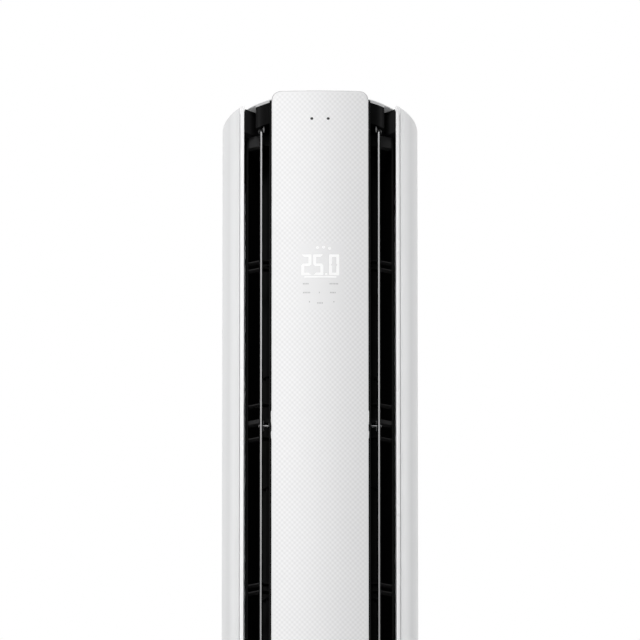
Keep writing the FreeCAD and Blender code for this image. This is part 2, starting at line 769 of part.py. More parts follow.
def vane_supports():
    level = ("bracket_level - bracket_height / 2", "bracket_level + bracket_height / 2")
    arm = box("BracketArm", ("column_half + fit_gap", "vane_half + bracket_nose"),
              ("vane_y - bracket_width / 2", "vane_y + bracket_width / 2"), level)
    foot = box("BracketFoot", ("column_half + fit_gap", "column_half + fit_gap + bracket_foot"),
               ("vane_y - bracket_foot_width / 2", "vane_y + bracket_foot_width / 2"),
               ("bracket_level - bracket_foot_height / 2", "bracket_level + bracket_foot_height / 2"))
    eye = cylinder("BracketEye", "pin_radius + running_play",
                   ("bracket_level - bracket_height", "bracket_level + bracket_height"),
                   "vane_half", "vane_y")
    keep_pair(cut("VaneBracket", fuse("BracketBody", arm, foot), eye), "vane_bracket")
    bush = cut("VaneBush", cylinder("BushBody", "bush_radius", ("deck_top", "deck_top + bush_height"),
                                    "vane_half", "vane_y"),
               cylinder("BushBore", "pin_radius + running_play",
                        ("deck_top - 1", "deck_top + bush_height + 1"), "vane_half", "vane_y"))
    keep(group("VaneBushes", bush, mirror("VaneBushLeft", bush)), "vane_bushes")
    motor = cut("VaneMotor",
                cylinder("VaneMotorBody", "vane_motor_radius",
                         ("crown_floor", "crown_floor + vane_motor_height"),
                         "vane_half - vane_motor_offset / 2", "vane_y + vane_motor_offset"),
                cylinder("VaneMotorBore", "pin_radius + running_play",
                         ("crown_floor - 1", "crown_floor + pin_top_reach + 1"), "vane_half", "vane_y"))
    keep_pair(motor, "vane_motor")


def ray(radius, degrees):
    """The rules of a point at an angle on a circle about the right-hand fan."""
    angle = f"({degrees}) * 1deg"
    return f"fan_half + ({radius}) * cos({angle})", f"fan_back + ({radius}) * sin({angle})"


def ring_sector(name, inner, outer, start, sweep, z):
    """Part of a ring about the right-hand fan."""
    whole = doc.addObject("Part::Cylinder", name + "Outer")
    whole.setExpression("Radius", rule(outer))
    whole.setExpression("Height", rule(f"({z[1]}) - ({z[0]})"))
    whole.setExpression("Angle", rule(sweep))
    whole.Placement = Placement(Vector(), Rotation(Vector(0, 0, 1), value(start)))
    place(whole, "fan_half", "fan_back", z[0])
    return cut(name, whole, cylinder(name + "Inner", inner, z, "fan_half", "fan_back"))


def ducts():
    z = ("deck_top", "crown_bottom")
    scroll = "(fan_radius + duct_play)"
    back = "(fan_radius + duct_play + duct_wall)"
    mouth = ("guide_outer_half + fit_gap", "guide_outer_y + guide_depth + fit_gap")
    # The outer wall leaves the scroll where a line from the mouth touches its circle.
    reach = value(f"{mouth[0]} - fan_half"), value(f"{mouth[1]} - fan_back")
    distance = math.hypot(*reach)
    touch = math.degrees(math.atan2(reach[1], reach[0]) + math.acos(value(scroll) / distance))
    outward = (f"duct_wall * {math.cos(math.radians(touch)):.6f}",
               f"duct_wall * {math.sin(math.radians(touch)):.6f}")
    start = ray(scroll, f"{touch:.6f}")
    outer_wall = prism("DuctOuterWall", [
        mouth,
        start,
        (f"{start[0]} + {outward[0]}", f"{start[1]} + {outward[1]}"),
        (f"{mouth[0]} + {outward[0]}", f"{mouth[1]} + {outward[1]}"),
    ], z)
    wrap = ring_sector("DuctScroll", scroll, back, f"{touch:.6f}", f"duct_wrap - {touch:.6f}", z)
    tip = ray(scroll, "-tongue_angle")
    lip = ("guide_inner_half", "guide_kink_y + guide_depth + fit_gap")
    bend = ("guide_kink_half", "guide_kink_y + guide_depth + fit_gap")
    inner_wall = prism("DuctInnerWall", [
        lip,
        tip,
        (f"{tip[0]} - duct_wall", f"{tip[1]} - duct_wall / 2"),
        (f"{lip[0]} - duct_wall", lip[1]),
    ], z)
    tongue = ring_sector("DuctTongue", scroll, back, "-tongue_angle - tongue_wrap", "tongue_wrap", z)
    partition = box("DuctPartition", ("duct_seam", ray(scroll, "-tongue_angle - tongue_wrap")[0] + " + 1"),
                    (f"fan_back - {back}", f"fan_back - {scroll} + 0.2"), z)
    plates = []
    for name, level in (("Foot", ("deck_top", "deck_top + duct_plate")),
                        ("Head", ("crown_bottom - duct_plate", "crown_bottom"))):
        channel = prism(f"Duct{name}Channel",
                        [mouth, start, ("fan_half", "fan_back"), tip, lip, bend], level)
        disc = cylinder(f"Duct{name}Disc", back, level, "fan_half", "fan_back")
        plates += [channel, disc]
    body = fuse("DuctBody", outer_wall, wrap, inner_wall, tongue, partition, *plates)
    foot_hole = cylinder("DuctFootHole", "bearing_radius + fit_gap",
                         ("deck_top - 1", "deck_top + duct_plate + 1"), "fan_half", "fan_back")
    head_hole = cylinder("DuctHeadHole", "shaft_radius + shaft_hole_play",
                         ("crown_bottom - duct_plate - 1", "crown_bottom + 1"), "fan_half", "fan_back")
    keep_pair(cut("Duct", body, foot_hole, head_hole), "duct")


def fans():
    """Cross-flow fans: rings of leaned blades between discs, on a steel shaft."""
    bottom = value("fan_bottom")
    top = value("fan_top")
    radius = value("fan_radius")
    thickness = value("fan_disc_thickness")
    centre = Vector(value("fan_half"), value("fan_back"), 0)
    chord = value("blade_chord")
    depth = chord * math.cos(math.radians(value("blade_lean")))
    blades = []
    count = int(value("blade_count"))
    for index in range(count):
        blade = Part.makeBox(chord, value("blade_thickness"), top - bottom,
                             Vector(-chord, 0, bottom))
        blade.rotate(Vector(), Vector(0, 0, 1), value("blade_lean"))
        blade.translate(Vector(radius - value("blade_inset"), 0, 0))
        blade.rotate(Vector(), Vector(0, 0, 1), 360.0 * index / count)
        blades.append(blade)
    stages = int(value("fan_stage_count"))
    discs = []
    for index in range(stages + 1):
        level = bottom + (top - bottom - thickness) * index / stages
        disc = Part.makeCylinder(radius, thickness, Vector(0, 0, level))
        closed = index in (0, stages)
        bore = value("shaft_radius + running_play") if closed else radius - depth - value("disc_lip")
        disc = disc.cut(Part.makeCylinder(bore, thickness, Vector(0, 0, level)))
        discs.append(disc)
    wheel = discs[0].multiFuse(discs[1:] + blades)
    feature = doc.addObject("Part::Feature", "Fan")
    feature.Shape = wheel
    feature.Placement = Placement(centre, Rotation())
    keep_pair(feature, "fan")
    keep_pair(cylinder("FanShaft", "shaft_radius",
                       ("deck_top + fit_gap", "crown_floor + fan_motor_height - 4"),
                       "fan_half", "fan_back"), "fan_shaft")


def fan_supports():
    sleeve = cylinder("BearingSleeve", "bearing_radius", ("deck_top", "deck_top + duct_plate"),
                      "fan_half", "fan_back")
    flange = cylinder("BearingFlange", "bearing_flange",
                      ("deck_top + duct_plate", "deck_top + duct_plate + bearing_flange_height"),
                      "fan_half", "fan_back")
    bore = cylinder("BearingBore", "shaft_radius + running_play",
                    ("deck_top - 1", "deck_top + duct_plate + bearing_flange_height + 1"),
                    "fan_half", "fan_back")
    bearing = cut("FanBearing", fuse("BearingBody", sleeve, flange), bore)
    keep(group("FanBearings", bearing, mirror("FanBearingLeft", bearing)), "fan_bearings")
    motor = cut("FanMotor",
                cylinder("FanMotorBody", "fan_motor_radius",
                         ("crown_floor", "crown_floor + fan_motor_height"), "fan_half", "fan_back"),
                cylinder("FanMotorBore", "shaft_radius + running_play",
                         ("crown_floor - 1", "crown_floor + fan_motor_height - 3"),
                         "fan_half", "fan_back"))
    keep_pair(motor, "fan_motor")


def behind(name, start, z):
    """The space behind a plane across the column."""
    return box(name, ("-body_radius", "body_radius"), (start, "body_radius + 20"), z)


def evaporator():
    z = ("coil_bottom", "coil_top")
    keep(common("Coil", ring("CoilRing", "coil_inner", "coil_outer", z),
                behind("CoilSpan", "coil_start", z)), "evaporator_core")
    plates = []
    for name, z in (("Low", ("coil_bottom - coil_plate", "coil_bottom")),
                    ("High", ("coil_top", "coil_top + coil_plate"))):
        plate = ring(f"CoilPlate{name}Ring", "coil_inner - coil_plate_reach",
                     "coil_outer + coil_plate_reach", z)
        plates.append(common(f"CoilPlate{name}", plate, behind(f"CoilPlate{name}Span", "coil_start", z)))
    keep(group("CoilPlates", *plates), "evaporator_plates")
    bends = []
    count = int(value("bend_count"))
    for index in range(count):
        angle = 90.0 + value("bend_angle") * (index - (count - 1) / 2)
        bend = doc.addObject("Part::Torus", f"ReturnBend{index}")
        bend.setExpression("Radius1", rule("bend_radius"))
        bend.setExpression("Radius2", rule("bend_tube_radius"))
        bend.Angle3 = 180
        # Upright, with its two legs down, and across the coil's thickness.
        upright = Rotation(Vector(1, 0, 0), 90)
        bend.Placement = Placement(Vector(), Rotation(Vector(0, 0, 1), angle).multiply(upright))
        place(bend, f"coil_middle * {math.cos(math.radians(angle)):.6f}",
              f"coil_middle * {math.sin(math.radians(angle)):.6f}", "coil_top + coil_plate")
        bends.append(bend)
    keep(group("ReturnBends", *bends), "evaporator_bends")
    z = ("deck_top", "deck_top + drain_height")
    outer = common("DrainOuter", ring("DrainOuterRing", "coil_inner - drain_reach",
                                      "coil_outer + drain_reach", z),
                   behind("DrainOuterSpan", "coil_start - drain_reach", z))
    z = ("deck_top + drain_floor", "deck_top + drain_height + 1")
    hollow = common("DrainHollow", ring("DrainHollowRing", "coil_inner - drain_reach + drain_wall",
                                        "coil_outer + drain_reach - drain_wall", z),
                    behind("DrainHollowSpan", "coil_start - drain_reach + drain_wall", z))
    outlet = cylinder("DrainOutlet", "spout_radius - drain_wall", ("deck_top - 1", "deck_top + drain_height"),
                      "spout_half", "spout_back")
    keep(cut("DrainPan", outer, hollow, outlet), "drain_pan")


def pipe_run(name, points, bend, radius, bore=None):
    """A tube along straight runs joined by tangent arcs."""
    edges = []
    start = points[0]
    for before, corner, after in zip(points, points[1:], points[2:]):
        back = (before - corner).normalize()
        ahead = (after - corner).normalize()
        half = back.getAngle(ahead) / 2
        trim = bend / math.tan(half)
        enter = corner + back * trim
        leave = corner + ahead * trim
        middle = (back + ahead).normalize()
        crest = corner + middle * (bend / math.sin(half) - bend)
        edges.append(Part.LineSegment(start, enter).toShape())
        edges.append(Part.Arc(enter, crest, leave).toShape())
        start = leave
    edges.append(Part.LineSegment(start, points[-1]).toShape())
    path = Part.Wire(edges)
    direction = points[1] - points[0]

    def tube(size):
        circle = Part.Wire(Part.Circle(points[0], direction, size).toShape())
        return path.makePipeShell([circle], True, False)

    shape = tube(radius)
    if bore:
        shape = shape.cut(tube(bore))
    item = doc.addObject("Part::Feature", name)
    item.Shape = shape
    return item


def pipes():
    rear = value("body_radius")
    for name, radius, x, join in (("GasPipe", "gas_radius", "pipe_half", "gas_join_height"),
                                  ("LiquidPipe", "liquid_radius", "-pipe_half", "liquid_join_height")):
        across = value(x)
        upright = value("pipe_back")
        size = value(radius)
        coil = math.sqrt(value("coil_inner") ** 2 - (abs(across) + size) ** 2) - value("fit_gap")
        out = value("pipe_out_height")
        item = pipe_run(name, [
            Vector(across, rear - value("union_inset"), out),
            Vector(across, upright, out),
            Vector(across, upright, value(join)),
            Vector(across, coil, value(join)),
        ], value("pipe_bend"), size, size - value("pipe_wall"))
        keep(item, "gas_pipe" if name == "GasPipe" else "liquid_pipe")
    spout = pipe_run("DrainSpout", [
        Vector(value("spout_half"), value("spout_back"), value("deck_top")),
        Vector(value("spout_half"), value("spout_back"), value("spout_height")),
        Vector(value("spout_half"), rear + value("spout_reach"), value("spout_height")),
    ], value("spout_bend"), value("spout_radius"), value("spout_radius - drain_wall"))
    keep(spout, "drain_spout")


def rear():
    span = ("-crease_half", "crease_half")
    z = ("deck_top + fit_gap", "body_height")
    blank = common("RearFrameBlank", ring("RearFrameRing", "frame_inner", "body_radius", z),
                   box("RearFrameSpan", span, ("0", "body_radius + 1"), z))
    windows = []
    for name, low, high in (("Right", "mullion_half", "window_half"),
                            ("Left", "-window_half", "-mullion_half")):
        windows.append(box(f"RearWindow{name}", (low, high), ("0", "body_radius + 1"),
                           ("window_bottom", "window_top")))
    keep(cut("RearFrame", blank, *windows), "rear_frame")
    z = ("plinth_height", "deck_top")
    cover = common("RearCoverBlank", ring("RearCoverRing", "shell_inner", "body_radius", z),
                   box("RearCoverSpan", span, ("0", "body_radius + 1"), z))
    depth = ("0", "body_radius + 1")
    keep(cut("RearCover", cover,
             bar("CollarHole", "collar_radius + fit_gap", "0", depth, "pipe_out_height"),
             bar("SpoutHole", "spout_radius + pipe_play", "spout_half", depth, "spout_height"),
             bar("GlandHole", "gland_radius + fit_gap", "-gland_half", depth, "gland_height")),
         "rear_lower_cover")
    face = "body_radius"
    collar = cut("Collar", fuse("CollarBody",
                                bar("CollarSleeve", "collar_radius", "0",
                                    ("sqrt(shell_inner^2 - collar_radius^2) - 2", face), "pipe_out_height"),
                                bar("CollarFlange", "collar_flange_radius", "0",
                                    (f"{face} + fit_gap / 2", f"{face} + fit_gap / 2 + collar_flange"),
                                    "pipe_out_height"),
                                bar("CollarNeck", "collar_radius", "0",
                                    (face, f"{face} + fit_gap"), "pipe_out_height")),
                 bar("CollarBore", "collar_bore", "0", ("0", "body_radius * 2"), "pipe_out_height"))
    keep(collar, "pipe_collar")
    seat = "sqrt(body_radius^2 - (gland_half - gland_flange_radius)^2) + fit_gap"
    gland = cut("Gland", fuse("GlandBody",
                              bar("GlandSleeve", "gland_radius", "-gland_half",
                                  (f"{seat} - gland_length", f"{seat} + 3"), "gland_height"),
                              bar("GlandFlange", "gland_flange_radius", "-gland_half",
                                  (seat, f"{seat} + 3"), "gland_height")),
                bar("GlandBore", "gland_bore", "-gland_half", ("0", "body_radius * 2"), "gland_height"))
    keep(gland, "cord_gland")
    strap_z = ("body_height - strap_drop - strap_height", "body_height - strap_drop")
    strap = box("Strap", ("-strap_half", "strap_half"),
                ("body_radius + fit_gap", "body_radius + fit_gap + strap_thickness"), strap_z)
    holes = [bar(f"StrapHole{index}", "strap_hole_radius", f"{side} * strap_hole_half",
                 ("body_radius", "body_radius + 20"), "body_height - strap_drop - strap_height / 2")
             for index, side in enumerate((-1, 1))]
    keep(cut("StrapPlate", strap, *holes), "anti_tip_bracket")


def filters():
    """Intake filter frames that pull straight back out of the rear frame, with their meshes."""
    low = "mullion_half + fit_gap"
    high = "window_half - fit_gap"
    z = ("window_bottom + fit_gap", "window_top - fit_gap")
    outer = "body_radius"
    inner = "body_radius - filter_thickness"
    blank = common("FilterBlank", ring("FilterRing", inner, outer, z),
                   box("FilterSpan", (low, high), ("0", "body_radius + 1"), z))
    middle = f"(({low}) + ({high})) / 2"
    rows = int((value("window_top") - value("window_bottom") - 2 * value("filter_rim"))
               // value("filter_pitch"))
    slots = []
    for row in range(rows):
        foot = f"window_bottom + filter_rim + filter_pitch * {row} + (filter_pitch - filter_slot) / 2"
        level = (foot, f"{foot} + filter_slot")
        slots.append(box(f"FilterSlotA{row}", (f"{low} + filter_rim", f"{middle} - filter_rib / 2"),
                         ("0", "body_radius + 1"), level))
        slots.append(box(f"FilterSlotB{row}", (f"{middle} + filter_rib / 2", f"{high} - filter_rim"),
                         ("0", "body_radius + 1"), level))
    keep_pair(cut("FilterFrame", blank, group("FilterSlots", *slots)), "filter_frame")
    mesh_outer = "body_radius - filter_thickness - mesh_gap"
    keep_pair(common("FilterMesh", ring("MeshRing", f"{mesh_outer} - mesh_thickness", mesh_outer, z),
                     box("MeshSpan", (f"{low} + filter_rim / 2", f"{high} - filter_rim / 2"),
                         ("0", "body_radius + 1"), z)), "filter_mesh")


def control_box():
    y = ("-box_front", "-box_front + box_depth")
    z = ("pan_top", "pan_top + box_height")
    outer = box("ControlBoxOuter", ("-box_half", "box_half"), y, z)
    hollow = box("ControlBoxHollow", ("-box_half + box_wall", "box_half - box_wall"),
                 (y[0] + " - 1", y[1] + " - box_wall"),
                 (z[0] + " + box_wall", z[1] + " - box_wall"))
    keep(cut("ControlBox", outer, hollow), "control_box")
    back = y[1] + " - box_wall"
    margin = "control_board_margin"
    board = box("BoardSheet", (f"-box_half + box_wall + {margin}", f"box_half - box_wall - {margin}"),
                (f"{back} - standoff - board_thickness", f"{back} - standoff"),
                (f"pan_top + terminal_level + terminal_height + {margin}", f"{z[1]} - box_wall - {margin}"))
    posts = [bar(f"BoardPost{index}", "screw_radius", f"{side} * (box_half - box_wall - {margin} * 2)",
                 (f"{back} - standoff", back), level)
             for index, (side, level) in enumerate((side, level) for side in (-1, 1) for level in (
                 f"pan_top + terminal_level + terminal_height + {margin} * 2",
                 f"{z[1]} - box_wall - {margin} * 2"))]
    keep(fuse("ControlBoard", board, *posts), "control_board")
    keep(box("TerminalBlock", ("-terminal_half", "terminal_half"), (f"{back} - terminal_depth", back),
             ("pan_top + terminal_level", "pan_top + terminal_level + terminal_height")), "terminal_block")


def check_and_write():
    doc.recompute()
    failed = [item.Name for item in doc.Objects
              if "Invalid" in item.State or "Error" in item.State]
    if failed:
        raise RuntimeError("failed objects: " + ", ".join(failed))
    for item in pieces:
        if item.Shape.isNull() or not item.Shape.isValid() or item.Shape.Volume <= 0:
            raise RuntimeError("bad shape: " + item.Label)
    os.makedirs("parts", exist_ok=True)
    for item in pieces:
        item.Shape.exportStep(f"parts/{item.Label}.step")
    print(len(pieces), "sub-parts written")


screws = base()
side_shells()
side_plates()
screws += crown()
bezel()
column()
panel()
display()
air_guides()
vanes()
vane_supports()
ducts()
fans()
fan_supports()
evaporator()
pipes()
rear()
filters()
control_box()
keep(group("CaseScrews", *screws), "case_screws")
check_and_write()
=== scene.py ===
import math

import bmesh
import bpy
from mathutils import Euler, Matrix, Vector


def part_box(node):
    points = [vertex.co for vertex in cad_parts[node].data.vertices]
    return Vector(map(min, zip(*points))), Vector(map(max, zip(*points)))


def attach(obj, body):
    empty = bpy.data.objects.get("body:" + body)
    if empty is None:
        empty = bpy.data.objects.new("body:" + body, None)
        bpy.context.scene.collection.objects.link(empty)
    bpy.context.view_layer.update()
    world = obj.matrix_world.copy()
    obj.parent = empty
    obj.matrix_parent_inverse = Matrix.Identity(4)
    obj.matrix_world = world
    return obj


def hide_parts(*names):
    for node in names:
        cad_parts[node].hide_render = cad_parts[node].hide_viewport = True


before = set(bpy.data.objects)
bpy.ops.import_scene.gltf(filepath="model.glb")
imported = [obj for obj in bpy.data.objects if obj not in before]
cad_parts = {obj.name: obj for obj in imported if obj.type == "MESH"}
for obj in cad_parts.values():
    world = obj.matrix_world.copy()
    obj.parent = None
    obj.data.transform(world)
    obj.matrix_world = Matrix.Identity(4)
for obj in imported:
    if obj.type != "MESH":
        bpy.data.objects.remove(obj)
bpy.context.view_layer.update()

print("frame loaded:", len(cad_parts), "nodes")

mm = 0.001
scene = bpy.context.scene


# Shader helpers

plainLook = {    # what a finish has where its own look says nothing else
    "roughness": 0.4,
    "roughnessDrift": 0.05,
    "metallic": 0.0,
    "specular": 0.5,
    "coat": 0.0,
    "coatRoughness": 0.05,
    "glow": 0.0,
    "stretch": (1.0, 1.0, 1.0),
    "cloudSize": 0.06,
    "cloudDepth": 0.97,
    "grainSize": 0.0012,
    "grainDepth": 0.00003,
}
cloudDetail, grainDetail = 3.0, 4.0
noiseLow, noiseHigh = 0.3, 0.7      # nearly all of a noise lies between these
paintedLightStart, paintedLightReach = -15.0 * mm, 40.0 * mm     # where painted light and shade across a piece starts, and sets in over


def startFinish(name, look):
    finish = bpy.data.materials.new(name)
    finish.use_nodes = True
    shader = finish.node_tree.nodes["Principled BSDF"]
    for socket, key in (("Roughness", "roughness"), ("Metallic", "metallic"),
                        ("Specular IOR Level", "specular"), ("Coat Weight", "coat"),
                        ("Coat Roughness", "coatRoughness"), ("Emission Strength", "glow")):
        shader.inputs[socket].default_value = look[key]
    shader.inputs["Emission Color"].default_value = (1.0, 1.0, 1.0, 1.0)
    return finish, finish.node_tree, shader


def addNode(tree, kind, **settings):
    node = tree.nodes.new(kind)
    for key, value in settings.items():
        if hasattr(node, key) and key not in node.inputs:
            setattr(node, key, value)
        else:
            node.inputs[key].default_value = value
    return node


def wire(tree, *pairs):
    for output, entry in zip(pairs[::2], pairs[1::2]):
        tree.links.new(output, entry)


def calc(tree, operation, first, second=0.0, third=0.0):
    node = addNode(tree, "ShaderNodeMath", operation=operation)
    for entry, value in zip(node.inputs, (first, second, third)):
        if isinstance(value, (int, float)):
            entry.default_value = value
        else:
            tree.links.new(value, entry)
    return node.outputs[0]


def objectPoint(tree, stretch=(1.0, 1.0, 1.0)):
    point = addNode(tree, "ShaderNodeTexCoord")
    mapping = addNode(tree, "ShaderNodeMapping")
    mapping.inputs["Scale"].default_value = stretch
    wire(tree, point.outputs["Object"], mapping.inputs["Vector"])
    return mapping.outputs["Vector"]


# The three parts of a point on the piece, as numbers called X, Y and Z.
def pointParts(tree):
    split = addNode(tree, "ShaderNodeSeparateXYZ")
    wire(tree, objectPoint(tree), split.inputs[0])
    return split.outputs


def speckle(tree, point, size, detail):
    noise = addNode(tree, "ShaderNodeTexNoise", Scale=1.0 / size, Detail=detail)
    wire(tree, point, noise.inputs["Vector"])
    return noise.outputs["Fac"]


def spreadOver(tree, value, start, end, low, high):
    spread = addNode(tree, "ShaderNodeMapRange")
    for socket, level in (("From Min", start), ("From Max", end), ("To Min", low), ("To Max", high)):
        spread.inputs[socket].default_value = level
    wire(tree, value, spread.inputs["Value"])
    return spread.outputs["Result"]


def between(tree, noise, low, high):
    return spreadOver(tree, noise, noiseLow, noiseHigh, low, high)


def blendColours(tree, factor, low, high):
    mix = addNode(tree, "ShaderNodeMix", data_type="RGBA")
    mix.inputs[6].default_value = (*low, 1.0)
    mix.inputs[7].default_value = (*high, 1.0)
    wire(tree, factor, mix.inputs[0])
    return mix.outputs[2]


def raised(tree, height, depth):
    bump = addNode(tree, "ShaderNodeBump", Strength=1.0, Distance=depth)
    wire(tree, height, bump.inputs["Height"])
    return bump.outputs["Normal"]


# Multiplies a colour by a plain number that varies over the piece.
def dimmed(tree, shade, tone):
    dim = addNode(tree, "ShaderNodeMix", data_type="RGBA", blend_type="MULTIPLY")
    dim.inputs[0].default_value = 1.0
    wire(tree, shade, dim.inputs[6], tone, dim.inputs[7])
    return dim.outputs[2]


# Climbs from 0 to 1 while a value goes from the start to the end of a span.
def climb(tree, value, start, span):
    share = calc(tree, "DIVIDE", calc(tree, "SUBTRACT", value, start), span)
    return calc(tree, "MINIMUM", calc(tree, "MAXIMUM", share, 0.0), 1.0)


# Dims a colour towards the foot of a tall piece: painted shade, darker towards the bottom.
def paintedShadeDown(tree, shade, foot, head, least):
    return dimmed(tree, shade, spreadOver(tree, pointParts(tree)["Z"], foot, head, least, 1.0))


# Paints light and shade onto the front of a piece by the distance from the middle plane: each stop is a
# distance and a level. The painted tone fades out towards the sides, so none of it reaches the back.
def paintedLightAcross(tree, shade, stops):
    parts = pointParts(tree)
    ramp = addNode(tree, "ShaderNodeValToRGB")
    widest = stops[-1][0]
    elements = ramp.color_ramp.elements
    while len(elements) < len(stops):
        elements.new(0.5)
    for element, (place, level) in zip(elements, stops):
        element.position = place / widest
    for element, (place, level) in zip(elements, stops):
        element.color = (level, level, level, 1.0)
    share = calc(tree, "DIVIDE", calc(tree, "ABSOLUTE", parts["X"]), widest)
    wire(tree, share, ramp.inputs[0])
    ahead = climb(tree, paintedLightStart, parts["Y"], paintedLightReach)
    dark = calc(tree, "SUBTRACT", 1.0, ramp.outputs["Color"])
    return dimmed(tree, shade, calc(tree, "SUBTRACT", 1.0, calc(tree, "MULTIPLY", ahead, dark)))


# Tones the panel's colour: fine crossed diamonds, painted shading of the panel's fine relief, except
# beside its border and inside one plain window, and a thin painted shade line along its head.
def panelPaintedShade(tree, shade, look):
    left, right, foot, head = look["plainWindow"]
    parts = pointParts(tree)
    x, z = parts["X"], parts["Z"]
    across = calc(tree, "COSINE", calc(tree, "MULTIPLY", x, 2 * math.pi / look["diamondWidth"]))
    up = calc(tree, "COSINE", calc(tree, "MULTIPLY", z, 2 * math.pi / look["diamondHeight"]))
    beside = calc(tree, "MAXIMUM", calc(tree, "SUBTRACT", left, x), calc(tree, "SUBTRACT", x, right))
    beyond = calc(tree, "MAXIMUM", calc(tree, "SUBTRACT", foot, z), calc(tree, "SUBTRACT", z, head))
    share = climb(tree, calc(tree, "MAXIMUM", beside, beyond), 0.0, look["windowFade"])
    corner = look["corner"]
    middle, half = (panelLow[2] + panelHigh[2]) / 2, (panelHigh[2] - panelLow[2]) / 2
    fromMiddle = calc(tree, "ABSOLUTE", calc(tree, "SUBTRACT", z, middle))
    overX = calc(tree, "SUBTRACT", calc(tree, "ABSOLUTE", x), panelHalf - corner)
    overZ = calc(tree, "SUBTRACT", fromMiddle, half - corner)
    squares = [calc(tree, "POWER", calc(tree, "MAXIMUM", over, 0.0), 2.0) for over in (overX, overZ)]
    inset = calc(tree, "SUBTRACT", corner, calc(tree, "SQRT", calc(tree, "ADD", *squares)))
    border = climb(tree, inset, look["edge"], look["plainRim"])
    # The diamonds' colour tone is painted shading of the panel's fine relief
    wave = calc(tree, "MULTIPLY", calc(tree, "MULTIPLY", across, up),
                calc(tree, "MULTIPLY", share, border))
    tone = calc(tree, "MULTIPLY_ADD", wave, look["tone"], 1.0 - look["tone"])
    # A painted shade line along the panel's head
    line = climb(tree, look["paintedShadeLine"], inset, look["paintedShadeLineSoft"])
    upper = climb(tree, z, panelHigh[2] - look["paintedShadeBand"], look["paintedShadeBandSoft"])
    dark = calc(tree, "MULTIPLY_ADD", calc(tree, "MULTIPLY", line, upper), -look["paintedShadeLineDepth"], 1.0)
    return dimmed(tree, shade, calc(tree, "MULTIPLY", tone, dark))


# A moulded, painted or metal finish: clouded colour, a varied gloss and a fine grain.
def grainedFinish(name, ownLook):
    look = {**plainLook, **ownLook}
    finish, tree, shader = startFinish(name, look)
    point = objectPoint(tree, look["stretch"])
    cloud = speckle(tree, point, look["cloudSize"], cloudDetail)
    grain = speckle(tree, point, look["grainSize"], grainDetail)
    light = look["colour"]
    dark = tuple(channel * look["cloudDepth"] for channel in light)
    gloss, drift = look["roughness"], look["roughnessDrift"]
    shade = blendColours(tree, between(tree, cloud, 0.0, 1.0), dark, light)
    # Painted light and shade: darker towards the foot, painted tones across a piece, and the panel's
    # painted shading
    if "fade" in look:
        shade = paintedShadeDown(tree, shade, *look["fade"])
    if "across" in look:
        shade = paintedLightAcross(tree, shade, look["across"])
    if "panel" in look:
        shade = panelPaintedShade(tree, shade, look["panel"])
    wire(tree,
         shade, shader.inputs["Base Color"],
         between(tree, cloud, gloss - drift, gloss + drift), shader.inputs["Roughness"],
         raised(tree, grain, look["grainDepth"]), shader.inputs["Normal"])
    return finish


